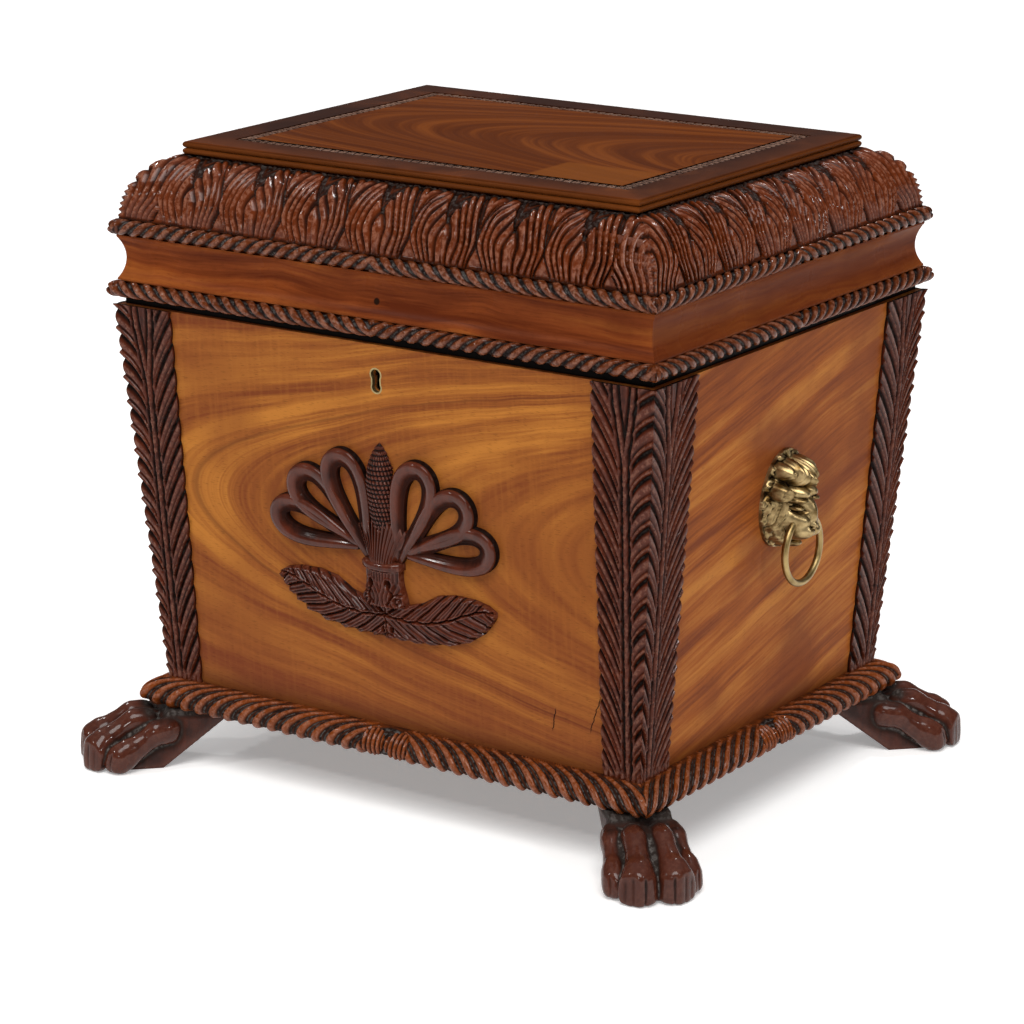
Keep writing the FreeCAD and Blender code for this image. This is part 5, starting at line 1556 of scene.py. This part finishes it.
def studio_room():
    """A room that is white at the horizon, dim above it and bright overhead."""
    world = bpy.data.worlds.new("studio")
    bpy.context.scene.world = world
    world.use_nodes = True
    tree = world.node_tree
    tree.nodes.clear()
    way = tree.nodes.new("ShaderNodeTexCoord")
    parts = tree.nodes.new("ShaderNodeSeparateXYZ")
    sky = tree.nodes.new("ShaderNodeValToRGB")
    room = tree.nodes.new("ShaderNodeBackground")
    output = tree.nodes.new("ShaderNodeOutputWorld")
    stops = sky.color_ramp.elements
    for place, grey in ((0.0, 1.0), (0.04, 0.14), (0.62, 0.16), (0.90, 0.50)):
        stop = stops.new(place)
        stop.color = (grey, grey, grey, 1)
    stops.remove(stops[-1])
    stops.remove(stops[0])
    tree.links.new(way.outputs["Generated"], parts.inputs[0])
    tree.links.new(parts.outputs[2], sky.inputs[0])
    tree.links.new(sky.outputs[0], room.inputs["Color"])
    tree.links.new(room.outputs[0], output.inputs[0])


def sun(name, elevation, azimuth, spread, strength, tone):
    """Even light from a wide, far source; azimuth is counted from the front towards the right."""
    deselect_all()
    bpy.ops.object.light_add(type="SUN", location=(0, 0, 3))
    light = bpy.context.object
    light.name = name
    light.rotation_euler = (math.radians(90 - elevation), 0, math.radians(azimuth))
    light.data.angle = math.radians(spread)
    light.data.energy = strength
    light.data.color = tone


def build_stage():
    """The room, the floor, the lights and the camera."""
    studio_room()
    white_floor()
    sun("window", 54, 30, 34, 1.95, (1, 0.99, 0.97))
    lamp("key", (-1.7, -2.4, 1.9), (0, 0, 0.3), 0.20, 15.0, (1, 0.985, 0.96))
    lamp("low_key", (0.9, -3.0, 0.9), (0, 0, 0.3), 0.20, 5.0, (1, 0.985, 0.96))
    lamp("fill", (2.8, -0.9, 1.5), (0, 0, 0.3), 0.20, 10.0, (0.97, 0.985, 1))
    lamp("crown", (0.2, 0.9, 2.4), (0, 0, 0.4), 0.25, 12.0, (1, 1, 1))
    lamp("shoulder", (-2.3, 0.3, 2.1), (0, 0, 0.4), 0.20, 9.0, (1, 1, 1))
    deselect_all()
    bpy.ops.object.camera_add(location=(1.90566, -2.80976, 1.20883),
                              rotation=(math.radians(74.043), 0, math.radians(34.332)))
    camera = bpy.context.object
    camera.data.lens = 131.24
    camera.data.sensor_width = 36.0
    bpy.context.scene.camera = camera
    bpy.context.scene.view_settings.view_transform = "Standard"


# ------------------------------------------------------------------ settings, operators and panel
def extent(label, description, default):
    """A length property, in metres."""
    return FloatProperty(name=label, description=description, default=default,
                         unit="LENGTH", subtype="DISTANCE")


class CellaretteSizes(bpy.types.PropertyGroup):
    """Sizes of the carving that can be changed without touching the frame."""

    rope_pitch: extent("Rope pitch", "Length of one strand of the rope mouldings", 0.0151)
    rope_groove: extent("Rope groove", "Depth of the grooves between strands", 0.0026)
    gadroon_pitch: extent("Gadroon pitch", "Length of one lobe of the base moulding", 0.0173)
    gadroon_depth: extent("Gadroon depth", "Depth of the grooves of the base moulding", 0.0034)
    long_leaf_pitch: extent("Long side leaf pitch", "Width of a leaf on the front and back", 0.071)
    short_leaf_pitch: extent("End leaf pitch", "Width of a leaf on the ends", 0.064)
    leaf_depth: extent("Leaf depth", "Depth of the carving on the lid's swelling sides", 0.0050)
    leaflet_pitch: extent("Leaflet pitch", "Height of one leaflet of the corner strips", 0.0236)
    band_pitch: extent("Band leaf pitch", "Width of one leaf of the band in the top", 0.009)
    strip_relief: extent("Strip relief", "How proud the corner leaves stand", 0.0046)


def shade(label, red, green, blue):
    """A colour property, given as it looks on screen."""
    return FloatVectorProperty(name=label, description=label + ", in linear light", subtype="COLOR",
                               default=colour(red, green, blue), size=3, min=0.0, max=1.0)


class CellaretteColours(bpy.types.PropertyGroup):
    """Colours of the finishes that can be changed without touching the nodes."""

    # In each carved wood the crest colour holds painted highlight, and the groove colour holds painted shade
    # together with the dirt and dust in the grooves.
    cushion_crest: shade("Cushion crest", 98, 41, 13)
    cushion_body: shade("Cushion body", 52, 20, 8)
    cushion_groove: shade("Cushion groove", 30, 13, 7)
    rope_crest: shade("Rope crest", 92, 40, 10)
    rope_body: shade("Rope body", 44, 17, 6)
    rope_groove: shade("Rope groove", 24, 18, 17)
    gadroon_crest: shade("Gadroon crest", 118, 55, 16)
    gadroon_body: shade("Gadroon body", 60, 26, 10)
    gadroon_groove: shade("Gadroon groove", 28, 20, 17)
    strip_crest: shade("Strip crest", 80, 33, 17)
    strip_body: shade("Strip body", 38, 15, 9)
    strip_groove: shade("Strip groove", 16, 8, 6)
    foot_crest: shade("Foot crest", 76, 36, 24)
    foot_body: shade("Foot body", 46, 22, 16)
    foot_groove: shade("Foot groove", 44, 37, 34)
    ornament_crest: shade("Ornament crest", 84, 36, 21)
    ornament_body: shade("Ornament body", 46, 19, 12)
    ornament_groove: shade("Ornament groove", 18, 9, 7)
    band_crest: shade("Band crest", 126, 98, 84)
    band_body: shade("Band body", 70, 46, 38)
    band_groove: shade("Band groove", 34, 26, 24)
    front_dark: shade("Front dark", 118, 60, 30)
    front_middle: shade("Front middle", 150, 88, 38)
    front_light: shade("Front light", 180, 114, 48)
    side_dark: shade("Side dark", 120, 60, 30)
    side_middle: shade("Side middle", 156, 86, 36)
    side_light: shade("Side light", 184, 116, 52)
    top_dark: shade("Top dark", 78, 34, 9)
    top_middle: shade("Top middle", 91, 42, 11)
    top_light: shade("Top light", 114, 58, 18)
    cavetto_dark: shade("Cavetto dark", 86, 36, 16)
    cavetto_middle: shade("Cavetto middle", 122, 59, 26)
    cavetto_light: shade("Cavetto light", 146, 80, 34)
    border_dark: shade("Border dark", 46, 20, 9)
    border_middle: shade("Border middle", 66, 30, 11)
    border_light: shade("Border light", 112, 58, 22)
    brass_bright: shade("Brass bright", 190, 166, 120)
    brass_shade: shade("Brass shade", 88, 66, 34)
    ring_bright: shade("Ring bright", 176, 152, 104)
    ring_shade: shade("Ring shade", 130, 108, 68)
    thread_bright: shade("Thread bright", 178, 160, 116)
    thread_shade: shade("Thread shade", 140, 122, 84)
    # pale specks on the sharpest crests, of wear together with painted glints
    wear_and_glint_edge: shade("Worn edge", 176, 122, 98)
    dust: shade("Dust", 128, 122, 118)


class CellaretteOperator(bpy.types.Operator):
    """Base for the operators that build the pieces."""

    bl_options = {"REGISTER", "UNDO"}

    def execute(self, context):
        self.build(context.scene.cellarette_sizes)
        return {"FINISHED"}


class CELLARETTE_OT_ropes(CellaretteOperator):
    """Carve the two rope mouldings of the lid"""

    bl_idname = "cellarette.ropes"
    bl_label = "Rope mouldings"

    def build(self, sizes):
        build_rope(sizes, "lower", -1)
        build_rope(sizes, "upper", 1)


class CELLARETTE_OT_base(CellaretteOperator):
    """Carve the gadrooned base moulding"""

    bl_idname = "cellarette.base"
    bl_label = "Base moulding"

    def build(self, sizes):
        build_base(sizes)


class CELLARETTE_OT_cushion(CellaretteOperator):
    """Carve the leaf-covered sides of the lid"""

    bl_idname = "cellarette.cushion"
    bl_label = "Leaf-carved cushion"

    def build(self, sizes):
        build_cushion(sizes)


class CELLARETTE_OT_corner_leaves(CellaretteOperator):
    """Carve the feathered strips on the corners"""

    bl_idname = "cellarette.corner_leaves"
    bl_label = "Corner leaves"

    def build(self, sizes):
        build_corner_leaves(sizes)


class CELLARETTE_OT_top(CellaretteOperator):
    """Carve the band let into the top"""

    bl_idname = "cellarette.top"
    bl_label = "Top band"

    def build(self, sizes):
        build_top_band(sizes)


class CELLARETTE_OT_masks(CellaretteOperator):
    """Model the lions' masks"""

    bl_idname = "cellarette.masks"
    bl_label = "Lion masks"

    def build(self, sizes):
        build_masks()


class CELLARETTE_OT_ornament(CellaretteOperator):
    """Carve the corn, ribbons, cup and leaves on the front"""

    bl_idname = "cellarette.ornament"
    bl_label = "Front ornament"

    def build(self, sizes):
        build_cob()
        build_husk()
        build_ribbons()
        build_cup()
        build_spray()


class CELLARETTE_OT_feet(CellaretteOperator):
    """Carve the four paw feet"""

    bl_idname = "cellarette.feet"
    bl_label = "Paw feet"

    def build(self, sizes):
        for corner in CORNERS:
            build_foot(corner)


class CELLARETTE_OT_frame(CellaretteOperator):
    """Finish the plain pieces of the frame"""

    bl_idname = "cellarette.frame"
    bl_label = "Plain pieces"

    def build(self, sizes):
        finish_frame()


class CELLARETTE_OT_stage(CellaretteOperator):
    """Set the floor, the lamps and the camera"""

    bl_idname = "cellarette.stage"
    bl_label = "Stage"

    def build(self, sizes):
        build_stage()


class CELLARETTE_PT_panel(bpy.types.Panel):
    """Buttons and sizes in the sidebar"""

    bl_label = "Cellarette"
    bl_idname = "CELLARETTE_PT_panel"
    bl_space_type = "VIEW_3D"
    bl_region_type = "UI"
    bl_category = "Cellarette"

    def draw(self, context):
        sizes = context.scene.cellarette_sizes
        colours = context.scene.cellarette_colours
        for name in CellaretteSizes.__annotations__:
            self.layout.prop(sizes, name)
        for name in CellaretteColours.__annotations__:
            self.layout.prop(colours, name)
        for operator in OPERATORS:
            self.layout.operator(operator.bl_idname)


OPERATORS = (CELLARETTE_OT_frame, CELLARETTE_OT_ropes, CELLARETTE_OT_base, CELLARETTE_OT_cushion,
             CELLARETTE_OT_corner_leaves, CELLARETTE_OT_top, CELLARETTE_OT_masks, CELLARETTE_OT_ornament,
             CELLARETTE_OT_feet, CELLARETTE_OT_stage)
CLASSES = (CellaretteSizes, CellaretteColours, *OPERATORS, CELLARETTE_PT_panel)


def register():
    """Add the classes and the settings to the program."""
    for each in CLASSES:
        bpy.utils.register_class(each)
    bpy.types.Scene.cellarette_sizes = PointerProperty(type=CellaretteSizes)
    bpy.types.Scene.cellarette_colours = PointerProperty(type=CellaretteColours)


def unregister():
    """Take the settings and the classes out again."""
    del bpy.types.Scene.cellarette_colours
    del bpy.types.Scene.cellarette_sizes
    for each in reversed(CLASSES):
        bpy.utils.unregister_class(each)


def main():
    """Build everything in order."""
    deselect_all()
    register()
    for operator in OPERATORS:
        group, name = operator.bl_idname.split(".")
        getattr(getattr(bpy.ops, group), name)()


if __name__ == "__main__":
    main()
